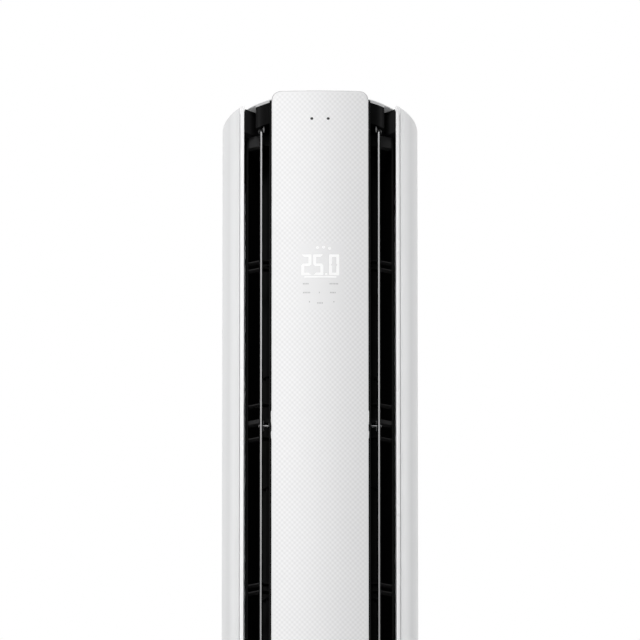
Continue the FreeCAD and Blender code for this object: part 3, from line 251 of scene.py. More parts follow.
finishLooks = {
    "shell_white": {
        "colour": (0.80, 0.805, 0.81), "roughness": 0.34, "grainSize": 0.0009, "grainDepth": 0.000012,
        "cloudDepth": 0.985, "coat": 0.15, "coatRoughness": 0.2,
        # The tones across are painted light and shade: painted shade in the crease by the trim, and
        # painted bands of reflected light down the front
        "across": ((0.0, 1.0), (160.4 * mm, 1.0), (162.6 * mm, 0.88), (165.0 * mm, 0.91),
                   (172.6 * mm, 0.99), (176.5 * mm, 0.98), (181.5 * mm, 0.92), (185.5 * mm, 0.96),
                   (190.5 * mm, 1.0), (200.0 * mm, 1.0))},
    "trim_white": {
        "colour": (0.84, 0.84, 0.845), "roughness": 0.24, "specular": 0.8, "grainSize": 0.0008,
        "grainDepth": 0.000006, "cloudDepth": 0.985,
        # The tone across is painted shade along the crease beside the shell
        "across": ((0.0, 1.0), (155.0 * mm, 1.0), (157.0 * mm, 0.96), (158.6 * mm, 0.88),
                   (159.6 * mm, 1.0), (165.0 * mm, 1.0))},
    "panel_white": {
        "colour": (0.874, 0.874, 0.879), "roughness": 0.3, "grainSize": 0.0008, "grainDepth": 0.000005,
        "cloudDepth": 0.997, "roughnessDrift": 0.006},
    "black_gloss": {
        "colour": (0.003, 0.003, 0.0033), "roughness": 0.6, "specular": 0.02, "grainSize": 0.001,
        "grainDepth": 0.000008, "cloudDepth": 0.8},
    "black_matte": {
        "colour": (0.01, 0.01, 0.011), "roughness": 0.5, "specular": 0.35, "grainSize": 0.0011,
        "cloudDepth": 0.8},
    "duct_black": {
        "colour": (0.009, 0.009, 0.0093), "roughness": 0.6, "specular": 0.05, "grainSize": 0.0011,
        "cloudDepth": 0.8},
    "guide_black": {
        "colour": (0.044, 0.044, 0.0445), "roughness": 0.5, "specular": 0.05, "grainSize": 0.0011,
        "cloudDepth": 0.85,
        # The tone across is painted shade: the guide's inner part and outer edge are darkened where the
        # outlet lies in shadow
        "across": ((0.0, 0.25), (112.5 * mm, 0.25), (114.5 * mm, 1.0), (141.0 * mm, 1.0),
                   (142.5 * mm, 0.3), (160.0 * mm, 0.3))},
    "crown_black": {
        "colour": (0.026, 0.026, 0.0265), "roughness": 0.25, "specular": 0.008, "grainSize": 0.001,
        "grainDepth": 0.000008, "cloudDepth": 0.8,
        # The tone across is painted light: a painted highlight down each head and paler painted ends on
        # the cheeks, over a darker middle
        "across": ((0.0, 0.077), (112.0 * mm, 0.077), (116.7 * mm, 0.19), (119.0 * mm, 0.34),
                   (122.0 * mm, 0.62), (124.7 * mm, 0.35), (127.5 * mm, 0.23), (131.0 * mm, 0.22),
                   (136.0 * mm, 0.4), (141.0 * mm, 0.9), (150.0 * mm, 1.0))},
    # The rim's darker grey is painted shade on the cover's folded edge, a shaded copy of the cover's grey
    "rim_grey": {
        "colour": (0.5, 0.5, 0.504), "roughness": 0.5, "grainDepth": 0.00001},
    "cover_grey": {
        "colour": (0.8, 0.805, 0.81), "roughness": 0.45},
    "base_grey": {
        "colour": (0.17, 0.172, 0.176), "roughness": 0.55, "grainSize": 0.0013, "grainDepth": 0.00005,
        "cloudDepth": 0.92},
    "rear_white": {
        "colour": (0.77, 0.775, 0.78), "roughness": 0.48, "grainDepth": 0.00004, "cloudDepth": 0.975},
    "filter_white": {
        "colour": (0.72, 0.725, 0.73), "roughness": 0.42, "grainSize": 0.0011},
    "pad_rubber": {
        "colour": (0.03, 0.03, 0.031), "roughness": 0.75, "grainSize": 0.0008, "grainDepth": 0.00006,
        "cloudDepth": 0.8},
    "pan_paint": {
        "colour": (0.28, 0.29, 0.3), "roughness": 0.5, "grainSize": 0.0016, "grainDepth": 0.00006,
        "cloudDepth": 0.92},
    "bearing_black": {
        "colour": (0.035, 0.035, 0.037), "roughness": 0.6, "grainSize": 0.001, "grainDepth": 0.00004,
        "cloudDepth": 0.85},
    "acetal": {
        "colour": (0.7, 0.69, 0.65), "grainSize": 0.0014, "grainDepth": 0.00002},
    "motor_paint": {
        "colour": (0.16, 0.16, 0.17), "roughness": 0.45, "grainSize": 0.0013, "grainDepth": 0.00004,
        "cloudDepth": 0.9},
    "drain_grey": {
        "colour": (0.5, 0.51, 0.52), "roughness": 0.7, "grainSize": 0.003, "grainDepth": 0.00015,
        "cloudDepth": 0.9},
    "spout_white": {
        "colour": (0.76, 0.76, 0.74), "roughness": 0.5, "grainSize": 0.0015},
    "circuit_green": {
        "colour": (0.03, 0.15, 0.075), "roughness": 0.35, "grainSize": 0.004, "grainDepth": 0.00005,
        "cloudDepth": 0.7, "cloudSize": 0.008},
    "light_box": {
        "colour": (0.82, 0.82, 0.82), "roughness": 0.5},
    "lit_figures": {
        "colour": (0.86, 0.86, 0.86), "roughness": 0.5, "grainDepth": 0.00001, "glow": 0.22},
    "printed_marks": {
        "colour": (0.56, 0.56, 0.565), "roughness": 0.5, "grainSize": 0.0008, "grainDepth": 0.00001,
        "cloudSize": 0.004, "cloudDepth": 0.9},
    "collar_black": {
        "colour": (0.004, 0.004, 0.0043), "roughness": 0.25, "specular": 0.1, "grainSize": 0.001,
        "grainDepth": 0.000004, "cloudDepth": 0.8},
    "clip_steel": {
        "colour": (0.12, 0.12, 0.122), "grainSize": 0.0008, "grainDepth": 0.00001, "cloudDepth": 0.9},
    "lens_black": {
        "colour": (0.003, 0.003, 0.0034), "roughness": 0.2, "specular": 0.08, "grainSize": 0.0006,
        "grainDepth": 0.000004, "cloudDepth": 0.7, "cloudSize": 0.003, "roughnessDrift": 0.03},
    "terminal_cream": {
        "colour": (0.58, 0.56, 0.48), "roughness": 0.5, "grainDepth": 0.00004},
    "mesh_grey": {
        "colour": (0.1, 0.1, 0.105), "roughness": 0.7, "grainSize": 0.0016, "grainDepth": 0.0002,
        "cloudDepth": 0.8},
    "zinc_steel": {
        "colour": (0.6, 0.61, 0.62), "metallic": 1.0, "roughness": 0.42, "grainSize": 0.012,
        "cloudDepth": 0.82, "cloudSize": 0.018, "roughnessDrift": 0.1},
    "bright_strip": {
        # The fade is painted shade: the strip is darker towards its foot
        "colour": (0.56, 0.56, 0.565), "fade": (700.0 * mm, 1150.0 * mm, 0.66), "roughness": 0.35,
        "specular": 0.3, "stretch": (1.0, 1.0, 0.02), "grainSize": 0.0004, "grainDepth": 0.000006},
    "bracket_steel": {
        "colour": (0.46, 0.46, 0.465), "metallic": 0.4, "stretch": (0.05, 1.0, 1.0),
        "grainSize": 0.0005, "grainDepth": 0.00001},
    "screw_zinc": {
        "colour": (0.66, 0.66, 0.67), "metallic": 1.0, "roughness": 0.33, "grainSize": 0.0005,
        "grainDepth": 0.00001},
    "shaft_steel": {
        "colour": (0.6, 0.6, 0.61), "metallic": 1.0, "roughness": 0.28, "stretch": (1.0, 1.0, 3.0),
        "grainSize": 0.0006, "grainDepth": 0.00001},
    "fin_aluminium": {
        "colour": (0.74, 0.75, 0.76), "metallic": 0.85, "roughness": 0.42, "grainSize": 0.0018,
        "grainDepth": 0.0004, "stretch": (0.03, 0.03, 1.0)},
    "copper": {
        "colour": (0.72, 0.36, 0.22), "metallic": 1.0, "roughness": 0.34, "grainSize": 0.002,
        "grainDepth": 0.00002, "cloudDepth": 0.75, "cloudSize": 0.02, "roughnessDrift": 0.09},
}

finishes = {slot: grainedFinish(slot + "_finish", look) for slot, look in finishLooks.items()}

# Nodes that take a finish of their own instead of their slot's: the ducts and fans are duller, the air
# guides paler, and the crown and the bezel smoother than the other black mouldings. The guides' finish
# also carries painted shade, and the crown's and the bezel's a painted highlight.
ownFinishes = {"duct_left": "duct_black", "duct_right": "duct_black",
               "fan_left": "duct_black", "fan_right": "duct_black",
               "air_guide_left": "guide_black", "air_guide_right": "guide_black",
               "top_crown": "crown_black", "lower_bezel": "crown_black"}

for label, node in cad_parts.items():
    for place in node.material_slots:
        own = ownFinishes.get(label, place.material.name.split(".")[0])
        place.material = finishes[own]
print("finishes:", len(finishes))


# Piece helpers

sides = ((1.0, "right"), (-1.0, "left"))


def addPiece(name, mesh, finish, body="root", sharp=30.0, standsFor=()):
    piece = bpy.data.objects.new(name, mesh)
    scene.collection.objects.link(piece)
    mesh.materials.append(finish)
    mesh.polygons.foreach_set("use_smooth", [True] * len(mesh.polygons))
    mesh.set_sharp_from_angle(angle=math.radians(sharp))
    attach(piece, body)
    if standsFor:
        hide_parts(*standsFor)


# Turns finished work into a mesh.
def meshOf(name, work):
    mesh = bpy.data.meshes.new(name)
    work.to_mesh(mesh)
    work.free()
    return mesh


# Skins rings of equal length into a closed solid: each ring is a list of points.
def loftRings(name, rings):
    mesh = bpy.data.meshes.new(name)
    count = len(rings[0])
    points = [point for ring in rings for point in ring]
    faces = []
    for row in range(len(rings) - 1):
        for step in range(count):
            following = (step + 1) % count
            faces.append((row * count + step, row * count + following,
                          (row + 1) * count + following, (row + 1) * count + step))
    faces.append(tuple(reversed(range(count))))
    faces.append(tuple(range((len(rings) - 1) * count, len(rings) * count)))
    mesh.from_pydata(points, [], faces)
    mesh.validate()
    work = bmesh.new()
    work.from_mesh(mesh)
    bmesh.ops.recalc_face_normals(work, faces=work.faces)
    work.to_mesh(mesh)
    work.free()
    return mesh


# Front panel: a crowned board with rounded corners, a soft edge and a fine diamond relief

panelLow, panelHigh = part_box("front_panel")
frontPanelLook = {
    "corner": 18.0 * mm,
    "cornerStep": 6,     # degrees
    "edge": 2.5 * mm,
    "edgeShares": (0.05, 0.15, 0.35, 0.65, 1.0),     # where the rounded edge has its rows and columns
    "edgeClear": 1.0 * mm,
    "crown": 4.0 * mm,
    "diamondWidth": 10.0 * mm,
    "diamondHeight": 11.3 * mm,
    "diamondSteps": 4,
    "relief": 0.08 * mm,
    # tone is the depth of the painted shading on the diamond relief
    "tone": 0.08,
    # the painted shade line along the panel's head, and the band it is painted in
    "paintedShadeLine": 2.0 * mm,
    "paintedShadeLineSoft": 0.4 * mm,
    "paintedShadeLineDepth": 0.42,
    "paintedShadeBand": 24.0 * mm,
    "paintedShadeBandSoft": 6.0 * mm,
    "plainRim": 7.0 * mm,
    "plainWindow": (-36.0 * mm, 40.0 * mm, 1286.0 * mm, 1422.0 * mm),   # left, right, foot, head
    "windowFade": 12.0 * mm,
    "clipReach": 0.9 * mm,
    "clipEase": 2.0 * mm,
    "clips": ((1001.0 * mm, 1013.0 * mm), (1031.0 * mm, 1059.0 * mm)),   # foot and head of each
}
panelHalf = panelHigh[0]


def easeIn(distance, span):
    share = min(max(distance / span, 0.0), 1.0)
    return share * share * (3.0 - 2.0 * share)


# How far a point of the panel lies inside its rounded outline.
def insetFromOutline(x, z, look):
    overX = abs(x) - (panelHalf - look["corner"])
    middle = (panelLow[2] + panelHigh[2]) / 2
    overZ = abs(z - middle) - ((panelHigh[2] - panelLow[2]) / 2 - look["corner"])
    outside = math.hypot(max(overX, 0.0), max(overZ, 0.0))
    return look["corner"] - outside - min(max(overX, overZ), 0.0)


def reliefShare(x, z, inset, look):
    left, right, foot, head = look["plainWindow"]
    window = max(left - x, x - right, foot - z, z - head)
    return easeIn(inset - look["edge"], look["plainRim"]) * easeIn(window, look["windowFade"])


def panelFace(x, z, look=frontPanelLook):
    inset = max(insetFromOutline(x, z, look), 0.0)
    edge = look["edge"]
    short = edge - min(inset, edge)
    rounding = edge - math.sqrt(max(edge * edge - short * short, 0.0))
    diamond = (math.cos(2 * math.pi * x / look["diamondWidth"])
               * math.cos(2 * math.pi * z / look["diamondHeight"]))
    lift = look["relief"] * diamond * reliefShare(x, z, inset, look)
    return panelLow[1] + look["crown"] * (x / panelHalf) ** 2 + rounding - lift


def panelRows(look):
    ends = [look["corner"] * (1.0 - math.cos(math.radians(turn)))
            for turn in range(0, 90, look["cornerStep"])]
    ends += [look["edge"] * share for share in look["edgeShares"]]
    ends = sorted(ends)
    foot, head = panelLow[2], panelHigh[2]
    step = look["diamondHeight"] / look["diamondSteps"]
    first = math.ceil((foot + look["corner"]) / step)
    last = math.floor((head - look["corner"]) / step)
    return ([foot + inset for inset in ends] + [step * row for row in range(first, last + 1)]
            + [head - inset for inset in reversed(ends)])


def panelColumns(look):
    step = look["diamondWidth"] / look["diamondSteps"]
    last = math.floor((panelHalf - look["edge"] - look["edgeClear"]) / step)
    inner = [step * column for column in range(-last, last + 1)]
    outer = [panelHalf - look["edge"] * share for share in (*reversed(look["edgeShares"]), 0.0)]
    return [-x for x in reversed(outer)] + inner + outer


def makeFrontPanel(look):
    columns = panelColumns(look)
    rings = []
    for z in panelRows(look):
        toEnd = min(z - panelLow[2], panelHigh[2] - z, look["corner"])
        short = look["corner"] - toEnd
        half = panelHalf - look["corner"] + math.sqrt(look["corner"] ** 2 - short ** 2)
        clip = max(easeIn(min(z - foot, head - z), look["clipEase"]) for foot, head in look["clips"])
        ring = []
        for column in columns:
            x = column * half / panelHalf
            side = math.copysign(look["clipReach"] * clip, x) if abs(column) == panelHalf else 0.0
            ring.append((x + side, panelFace(x, z), z))
        ring.append((half + look["clipReach"] * clip, panelHigh[1], z))
        ring.append((-half - look["clipReach"] * clip, panelHigh[1], z))
        rings.append(ring)
    return loftRings("front_panel_board", rings)


panelFinish = grainedFinish("panel_face_finish", {**finishLooks["panel_white"], "panel": frontPanelLook})
addPiece("front_panel_board", makeFrontPanel(frontPanelLook), panelFinish,
         standsFor=("front_panel",))
print("front panel made")


# Display: seven-bar figures, small lit signs above them and printed marks below them

displayLook = {
    "level": 1379.9 * mm,        # middle of the figures
    "height": 46.2 * mm,
    "width": 19.6 * mm,
    "bar": 5.4 * mm,
    "slit": 0.25 * mm,
    "figures": ((-27.1 * mm, "abged"), (-3.4 * mm, "afgcd"), (28.2 * mm, "abcdef")),
    "dot": (12.4 * mm, 2.0 * mm),      # place across, and half size
    "underline": (-31.0 * mm, 32.5 * mm, 1351.6 * mm, 1354.6 * mm),    # left, right, foot, head
    "underlinePieces": 8,
    "signs": ((-5.0 * mm, 1418.4 * mm), (7.0 * mm, 1419.2 * mm), (18.9 * mm, 1416.6 * mm)),
    "signRadius": 3.0 * mm,
    "signSteps": 16,
    "marks": ((-28.4 * mm, 1337.6 * mm, 12.0 * mm), (27.6 * mm, 1337.6 * mm, 16.5 * mm),
              (-26.6 * mm, 1318.0 * mm, 14.5 * mm), (-1.2 * mm, 1318.0 * mm, 2.4 * mm),
              (25.6 * mm, 1318.0 * mm, 13.0 * mm), (-21.0 * mm, 1297.4 * mm, 3.0 * mm),
              (0.0 * mm, 1294.6 * mm, 12.0 * mm), (27.6 * mm, 1297.4 * mm, 4.2 * mm)),
    "markHeight": 3.0 * mm,      # each mark is a place, a level and a width, cut into short dashes
    "markDash": 2.2 * mm,
    "markGap": 0.8 * mm,
    "lift": 0.12 * mm,
}
inlayRoot = 0.4 * mm     # how deep an inlay is sunk into the panel


# The outline of one bar of a figure, in the plane of the panel, counted from the figure's middle.
def barOutline(letter, look):
    width, height, bar, slit = look["width"] / 2, look["height"] / 2, look["bar"], look["slit"]
    level = {"a": height - bar / 2, "g": 0.0, "d": bar / 2 - height}
    if letter in level:
        z = level[letter]
        reach = width - slit
        cut = bar / 2
        if letter == "g":
            return [(-reach + cut / 2, z), (-reach + cut, z + cut), (reach - cut, z + cut),
                    (reach - cut / 2, z), (reach - cut, z - cut), (-reach + cut, z - cut)]
        inner = z - cut if letter == "a" else z + cut
        outer = z + cut if letter == "a" else z - cut
        return [(-reach, outer), (reach, outer), (reach - bar, inner), (-reach + bar, inner)]
    side = 1.0 if letter in "bc" else -1.0
    up = 1.0 if letter in "bf" else -1.0
    outer, inner = side * width, side * (width - bar)
    tip = height - slit
    return [(outer, up * tip), (inner, up * (tip - bar)), (inner, up * (bar / 2 + slit)),
            (side * (width - bar / 2), up * slit), (outer, up * slit)]


# Thin inlays that follow the panel's face: each outline becomes a low closed block.
def inlayMesh(name, outlines, lift):
    work = bmesh.new()
    for outline in outlines:
        front = [work.verts.new((x, panelFace(x, z) - lift, z)) for x, z in outline]
        back = [work.verts.new((x, panelFace(x, z) + inlayRoot, z)) for x, z in outline]
        work.faces.new(front)
        work.faces.new(list(reversed(back)))
        for index in range(len(outline)):
            after = (index + 1) % len(outline)
            work.faces.new((front[index], back[index], back[after], front[after]))
    bmesh.ops.recalc_face_normals(work, faces=work.faces)
    return meshOf(name, work)


def figureOutlines(look):
    outlines = []
    for across, letters in look["figures"]:
        for letter in letters:
            outlines.append([(across + x, look["level"] + z) for x, z in barOutline(letter, look)])
    return outlines


def roundOutline(x, z, radius, count):
    return [(x + radius * math.cos(2 * math.pi * step / count),
             z + radius * math.sin(2 * math.pi * step / count)) for step in range(count)]


def squareOutline(left, right, foot, head):
    return [(left, foot), (right, foot), (right, head), (left, head)]


def litOutlines(look):
    x, half = look["dot"]
    foot = look["level"] - look["height"] / 2
    outlines = figureOutlines(look)
    outlines.append(squareOutline(x - half, x + half, foot, foot + 2 * half))
    left, right, foot, head = look["underline"]
    pieces = look["underlinePieces"]
    for step in range(pieces):
        start, end = (left + (right - left) * (step + part) / pieces for part in (0, 1))
        outlines.append(squareOutline(start, end, foot, head))
    for x, z in look["signs"]:
        outlines.append(roundOutline(x, z, look["signRadius"], look["signSteps"]))
    return outlines


def markOutlines(look):
    outlines = []
    for middle, level, width in look["marks"]:
        pitch = look["markDash"] + look["markGap"]
        count = max(1, round(width / pitch))
        for step in range(count):
            x = middle + (step - (count - 1) / 2) * pitch
            half = look["markHeight"] / 2
            outlines.append(squareOutline(x - look["markDash"] / 2, x + look["markDash"] / 2,
                                          level - half, level + half))
    return outlines


addPiece("display_figures", inlayMesh("display_figures", litOutlines(displayLook), displayLook["lift"]),
         finishes["lit_figures"])
addPiece("display_marks", inlayMesh("display_marks", markOutlines(displayLook), displayLook["lift"]),
         finishes["printed_marks"])


# A dark ring round each sensor lens
sensorLook = {"across": 16.4 * mm, "radius": 3.0 * mm, "steps": 20, "lift": 0.1 * mm}


def sensorOutlines(look):
    low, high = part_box("sensor_lenses")
    level = (low[2] + high[2]) / 2
    return [roundOutline(side * look["across"], level, look["radius"], look["steps"])
            for side in (-1.0, 1.0)]


addPiece("sensor_rings", inlayMesh("sensor_rings", sensorOutlines(sensorLook), sensorLook["lift"]),
         finishes["lens_black"])
print("display and sensor rings made")


# Shell trims: a narrow edging from the fine crease beside the shell to a rounded lip at the outlet

trimLook = {
    "creaseDeep": 0.08 * mm,
    "creaseWide": 0.08 * mm,
    "creaseShare": 0.25,
    "bulge": -0.1 * mm,      # below zero the face is slightly hollow
    "lip": 2.1 * mm,
    "lipStart": 1.3 * mm,
    "lipEnd": 0.6 * mm,
    "lipRadius": 0.4 * mm,
    "lipTurn": (0.2, 0.7),   # where the lip's rounding turns, across and back, as shares of its radius
    "steps": 6,
    "endRound": 0.5 * mm,
    "endPull": 0.6,          # how much of that rounding the sides take part in
}


# The trim's plan on the right-hand side, from the crease round to the back of its lip.
def trimPlan(look, low, high):
    crease = Vector((high[0], high[1] - look["lip"]))
    outlet = Vector((low[0] + look["lipStart"], low[1]))
    along = (outlet - crease).normalized()
    outward = Vector((-along[1], along[0]))
    if outward[1] > 0:
        outward = -outward
    start = crease + along * look["creaseWide"]
    finish = outlet - along * look["lipRadius"]
    plan = [crease - outward * look["creaseDeep"],
            start - outward * look["creaseWide"] * look["creaseShare"]]
    for step in range(look["steps"] + 1):
        share = step / look["steps"]
        plan.append(start.lerp(finish, share) + outward * look["bulge"] * 4 * share * (1 - share))
    across, behind = look["lipTurn"]
    plan.append(Vector((outlet[0] - look["lipRadius"] * across, low[1] + look["lipRadius"] * behind)))
    plan.append(Vector((low[0] + look["lipEnd"], low[1] + look["lip"])))
    plan.append(Vector((high[0] - look["lip"], high[1])))
    return plan


def makeTrim(side, look):
    low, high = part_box("shell_trim_right")
    plan = trimPlan(look, low, high)
    middle = sum(plan, Vector((0.0, 0.0))) / len(plan)
    rings = []
    rounding = look["endRound"]
    for inset, z in ((rounding, low[2]), (0.0, low[2] + rounding), (0.0, high[2] - rounding),
                     (rounding, high[2])):
        ring = []
        for point in plan:
            toMiddle = (middle - point).normalized() * inset * look["endPull"]
            ring.append((side * (point + toMiddle)[0], (point + toMiddle)[1], z))
        rings.append(ring)
    return loftRings("shell_trim_board", rings)


# Side shells: thin curved sheets whose long front edge turns softly into the crease

shellLook = {
    "wall": 3.0 * mm,
    "frontRadius": 1.15 * mm,
    "frontSteps": 10,
    "frontLap": 0.1 * mm,
    "backRadius": 0.8 * mm,
    "rimRadius": 0.5 * mm,
    "steps": 60,
}


# The shell's plan on the right-hand side: along the outside from front to back, then back inside.
def shellPlan(look, low, high):
    outer = high[0]
    inner = outer - look["wall"]
    radius = look["frontRadius"]
    centreX = low[0] + radius
    centreY = -math.sqrt((outer - radius) ** 2 - centreX ** 2)
    meets = math.atan2(centreY, centreX)
    plan = [Vector((centreX + radius * math.cos(turn), centreY + radius * math.sin(turn)))
            for turn in (-math.pi + (meets + math.pi) * step / look["frontSteps"]
                         for step in range(look["frontSteps"] + 1))]
    back = math.acos(low[0] / outer) - look["backRadius"] / outer
    for step in range(1, look["steps"]):
        angle = meets + (back - meets) * step / look["steps"]
        plan.append(Vector((outer * math.cos(angle), outer * math.sin(angle))))
    for share in (0.0, 0.5, 1.0):
        angle = back + look["backRadius"] / outer * share
        reach = outer - look["backRadius"] * (1.0 - math.sqrt(1.0 - share * share))
        plan.append(Vector((reach * math.cos(angle), reach * math.sin(angle))))
    innerBack = math.acos(low[0] / inner)
    innerFront = math.atan2(centreY + look["frontLap"], low[0])
    for step in range(look["steps"] + 1):
        angle = innerBack + (innerFront - innerBack) * step / look["steps"]
        plan.append(Vector((inner * math.cos(angle), inner * math.sin(angle))))
    return [Vector((max(point[0], low[0]), point[1])) for point in plan]


def makeShell(side, look):
    low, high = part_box("shell_right")
    plan = shellPlan(look, low, high)
    middle = high[0] - look["wall"] / 2
    radius = look["rimRadius"]
    levels = [(radius * (1.0 - math.cos(math.radians(turn))), radius * math.sin(math.radians(turn)))
              for turn in (90, 60, 30, 0)]
    rings = [(inset, low[2] + radius - rise) for inset, rise in levels]
    rings += [(inset, high[2] - radius + rise) for inset, rise in reversed(levels)]
    loops = []
    for inset, z in rings:
        loop = []
        for point in plan:
            length = point.length
            pull = inset if length > middle else -inset
            moved = point * ((length - pull) / length)
            loop.append((side * moved[0], moved[1], z))
        loops.append(loop)
    return loftRings("shell_sheet", loops)


for side, end in sides:
    addPiece("shell_sheet_" + end, makeShell(side, shellLook), finishes["shell_white"],
             sharp=50.0, standsFor=("shell_" + end,))
    addPiece("shell_trim_edging_" + end, makeTrim(side, trimLook), finishes["trim_white"],
             sharp=40.0, standsFor=("shell_trim_" + end,))
print("shells and trims made")


# Cover rim: the folded edge of the top cover, above each of the crown's heads

rimLook = {
    "foot": 1767.4 * mm,
    "turn": 1772.5 * mm,
    "head": 1776.2 * mm,
    "proud": 0.35 * mm,
    "lean": 4.6 * mm,
    "fold": 1.0 * mm,
    "clear": 0.6 * mm,
    "reach": 128.2 * mm,     # how far from the middle it ends, before "proud" is added
    "steps": 16,
}


def makeCoverRim(side, look):
    low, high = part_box("top_cover")
    radius = high[0] + look["proud"]
    top = radius - look["lean"]
    section = ((radius, look["foot"]), (radius, look["turn"]), (top, look["head"]),
               (top - look["fold"], look["head"]), (high[0], look["turn"]), (high[0], look["foot"]))
    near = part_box("front_column")[1][0] + look["clear"]
    far = look["reach"] + look["proud"]
    loops = []
    for step in range(look["steps"] + 1):
        x = near + (far - near) * step / look["steps"]
        loops.append([(side * x, -math.sqrt(reach * reach - x * x), z) for reach, z in section])
    return loftRings("cover_rim", loops)


for side, end in sides:
    # The rim's grey is painted shade on the cover's edge
    addPiece("cover_rim_" + end, makeCoverRim(side, rimLook), finishes["rim_grey"],
             sharp=50.0)
print("cover rims made")


# Vane hinges: a turned collar and a lug above each vane, and a small clip and arm at each bracket

hingeLook = {
    "collarRadius": 6.6 * mm,
    "collarNeck": 3.6 * mm,
    "collarHeight": 15.0 * mm,
    "collarEnds": 0.6,           # radius of the closed ends, as a share of the neck
    "collarSwell": 0.6,          # under 1 the collar is fuller than a plain wave
    "collarLip": 0.4 * mm,
    "collarSteps": 8,
    "collarFacets": 28,
    "collarGap": 0.3 * mm,
    "armHeight": 2.0 * mm,
    "armDepth": 6.0 * mm,
    "armRound": 0.5 * mm,
    "eyeRadius": 5.0 * mm,
    "eyeHole": 3.3 * mm,
    "eyeSteps": 36,
    "footHeight": 8.0 * mm,
    "footDepth": 12.0 * mm,
    "footThick": 2.0 * mm,
    "nose": 5.0 * mm,
    "clipReach": 4.6 * mm,
    "clipHeight": 22.0 * mm,
    "clipThick": 1.0 * mm,
    "clipDepth": 4.0 * mm,
    "clipSlot": 6.8 * mm,
    "clipRound": 0.2 * mm,
    "knuckles": (-9.8 * mm, -5.2 * mm, 5.2 * mm, 9.8 * mm),      # levels on the clip
    "knuckleSection": ((0.9 * mm, -1.3 * mm), (1.8 * mm, -0.8 * mm), (1.8 * mm, 0.8 * mm),
                       (0.9 * mm, 1.3 * mm)),                    # radius and rise
    "knuckleFacets": 14,
    "lugPlace": (112.0 * mm, -150.0 * mm),
    "lugFoot": 1702.4 * mm,
    "lugHead": 1717.0 * mm,
    "lugWidth": 3.6 * mm,
    "lugThick": 2.4 * mm,
    "lugSteps": 12,
    "lugTips": (0.02, 0.1),      # how much of the width and of the thickness its tips keep
    "lugArmSides": (-0.6 * mm, 0.8 * mm),
    "lugArmFoot": 5.0 * mm,
    "lugArmHead": 10.0 * mm,
    "lugArmFront": 0.5 * mm,
    "lugArmBack": 4.0 * mm,
    "lugArmRound": 0.3 * mm,
}


# Turns a profile of (radius, level) points about an upright line.
def latheMesh(name, x, y, profile, count):
    rings = [[(x + radius * math.cos(2 * math.pi * step / count),
               y + radius * math.sin(2 * math.pi * step / count), z) for step in range(count)]
             for radius, z in profile]
    return loftRings(name, rings)


def roundedBlock(name, low, high, radius):
    work = bmesh.new()
    bmesh.ops.create_cube(work, size=1.0)
    for vertex in work.verts:
        vertex.co = Vector([low[axis] + (high[axis] - low[axis]) * (vertex.co[axis] + 0.5)
                            for axis in range(3)])
    bmesh.ops.bevel(work, geom=work.edges[:], offset=radius, segments=2, affect="EDGES",
                    clamp_overlap=True)
    return meshOf(name, work)


def joinMeshes(name, meshes):
    work = bmesh.new()
    for mesh in meshes:
        work.from_mesh(mesh)
    joined = meshOf(name, work)
    for mesh in meshes:
        bpy.data.meshes.remove(mesh)
    return joined


bracketLow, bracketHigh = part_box("vane_bracket_right")
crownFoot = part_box("top_crown")[0][2]
vanePinX = bracketHigh[0] - hingeLook["nose"]
vanePinY = (bracketLow[1] + bracketHigh[1]) / 2
bracketLevel = (bracketLow[2] + bracketHigh[2]) / 2


def makeCollar(side, look):
    head = crownFoot - look["collarGap"]
    foot = head - look["collarHeight"]
    neck, lip = look["collarNeck"], look["collarLip"]
    profile = [(neck * look["collarEnds"], foot)]
    for step in range(look["collarSteps"] + 1):
        share = step / look["collarSteps"]
        swell = math.sin(math.pi * share) ** look["collarSwell"]
        profile.append((neck + (look["collarRadius"] - neck) * swell,
                        foot + lip + (head - foot - 2 * lip) * share))
    profile.append((neck * look["collarEnds"], head))
    return latheMesh("vane_collar", side * vanePinX, vanePinY, profile, look["collarFacets"])


# A flat arm that ends in a round eye, with a clear hole for the vane's pin.
def makeArm(side, look):
    steps = look["eyeSteps"]
    spread = math.asin(look["armDepth"] / 2 / look["eyeRadius"])
    outer, inner = [], []
    for step in range(steps):
        turn = -math.pi + spread + (2 * math.pi - 2 * spread) * step / (steps - 1)
        outer.append((look["eyeRadius"] * math.cos(turn), look["eyeRadius"] * math.sin(turn)))
        inner.append((look["eyeHole"] * math.cos(turn), look["eyeHole"] * math.sin(turn)))
    root = bracketLow[0] - vanePinX
    half, depth, rounding = look["armHeight"] / 2, look["armDepth"] / 2, look["armRound"]
    work = bmesh.new()
    layers = []
    for z, inset in ((-half, rounding), (rounding - half, 0.0), (half - rounding, 0.0), (half, rounding)):
        shrink = 1.0 - inset / look["eyeRadius"]
        ring = [(x * shrink, y * shrink) for x, y in outer]
        plan = [(root, inset - depth), *ring, (root, depth - inset)]
        layers.append([[work.verts.new((side * (vanePinX + x), vanePinY + y, bracketLevel + z))
                        for x, y in points] for points in (plan, inner)])
    for lower, upper in zip(layers, layers[1:]):
        for below, above in zip(lower, upper):
            for index in range(len(below)):
                after = (index + 1) % len(below)
                work.faces.new((below[index], below[after], above[after], above[index]))
    for plan, hole in (layers[0], layers[-1]):
        for index in range(steps - 1):
            work.faces.new((plan[index + 1], plan[index + 2], hole[index + 1], hole[index]))
        work.faces.new((plan[0], plan[1], hole[0], hole[-1], plan[-2], plan[-1]))
    bmesh.ops.recalc_face_normals(work, faces=work.faces)
    return meshOf("vane_bracket_arm", work)


def makeFoot(side, look):
    left, right = sorted((side * bracketLow[0], side * (bracketLow[0] + look["footThick"])))
    depth, height = look["footDepth"] / 2, look["footHeight"] / 2
    return roundedBlock("vane_bracket_foot", (left, vanePinY - depth, bracketLevel - height),
                        (right, vanePinY + depth, bracketLevel + height), look["armRound"])


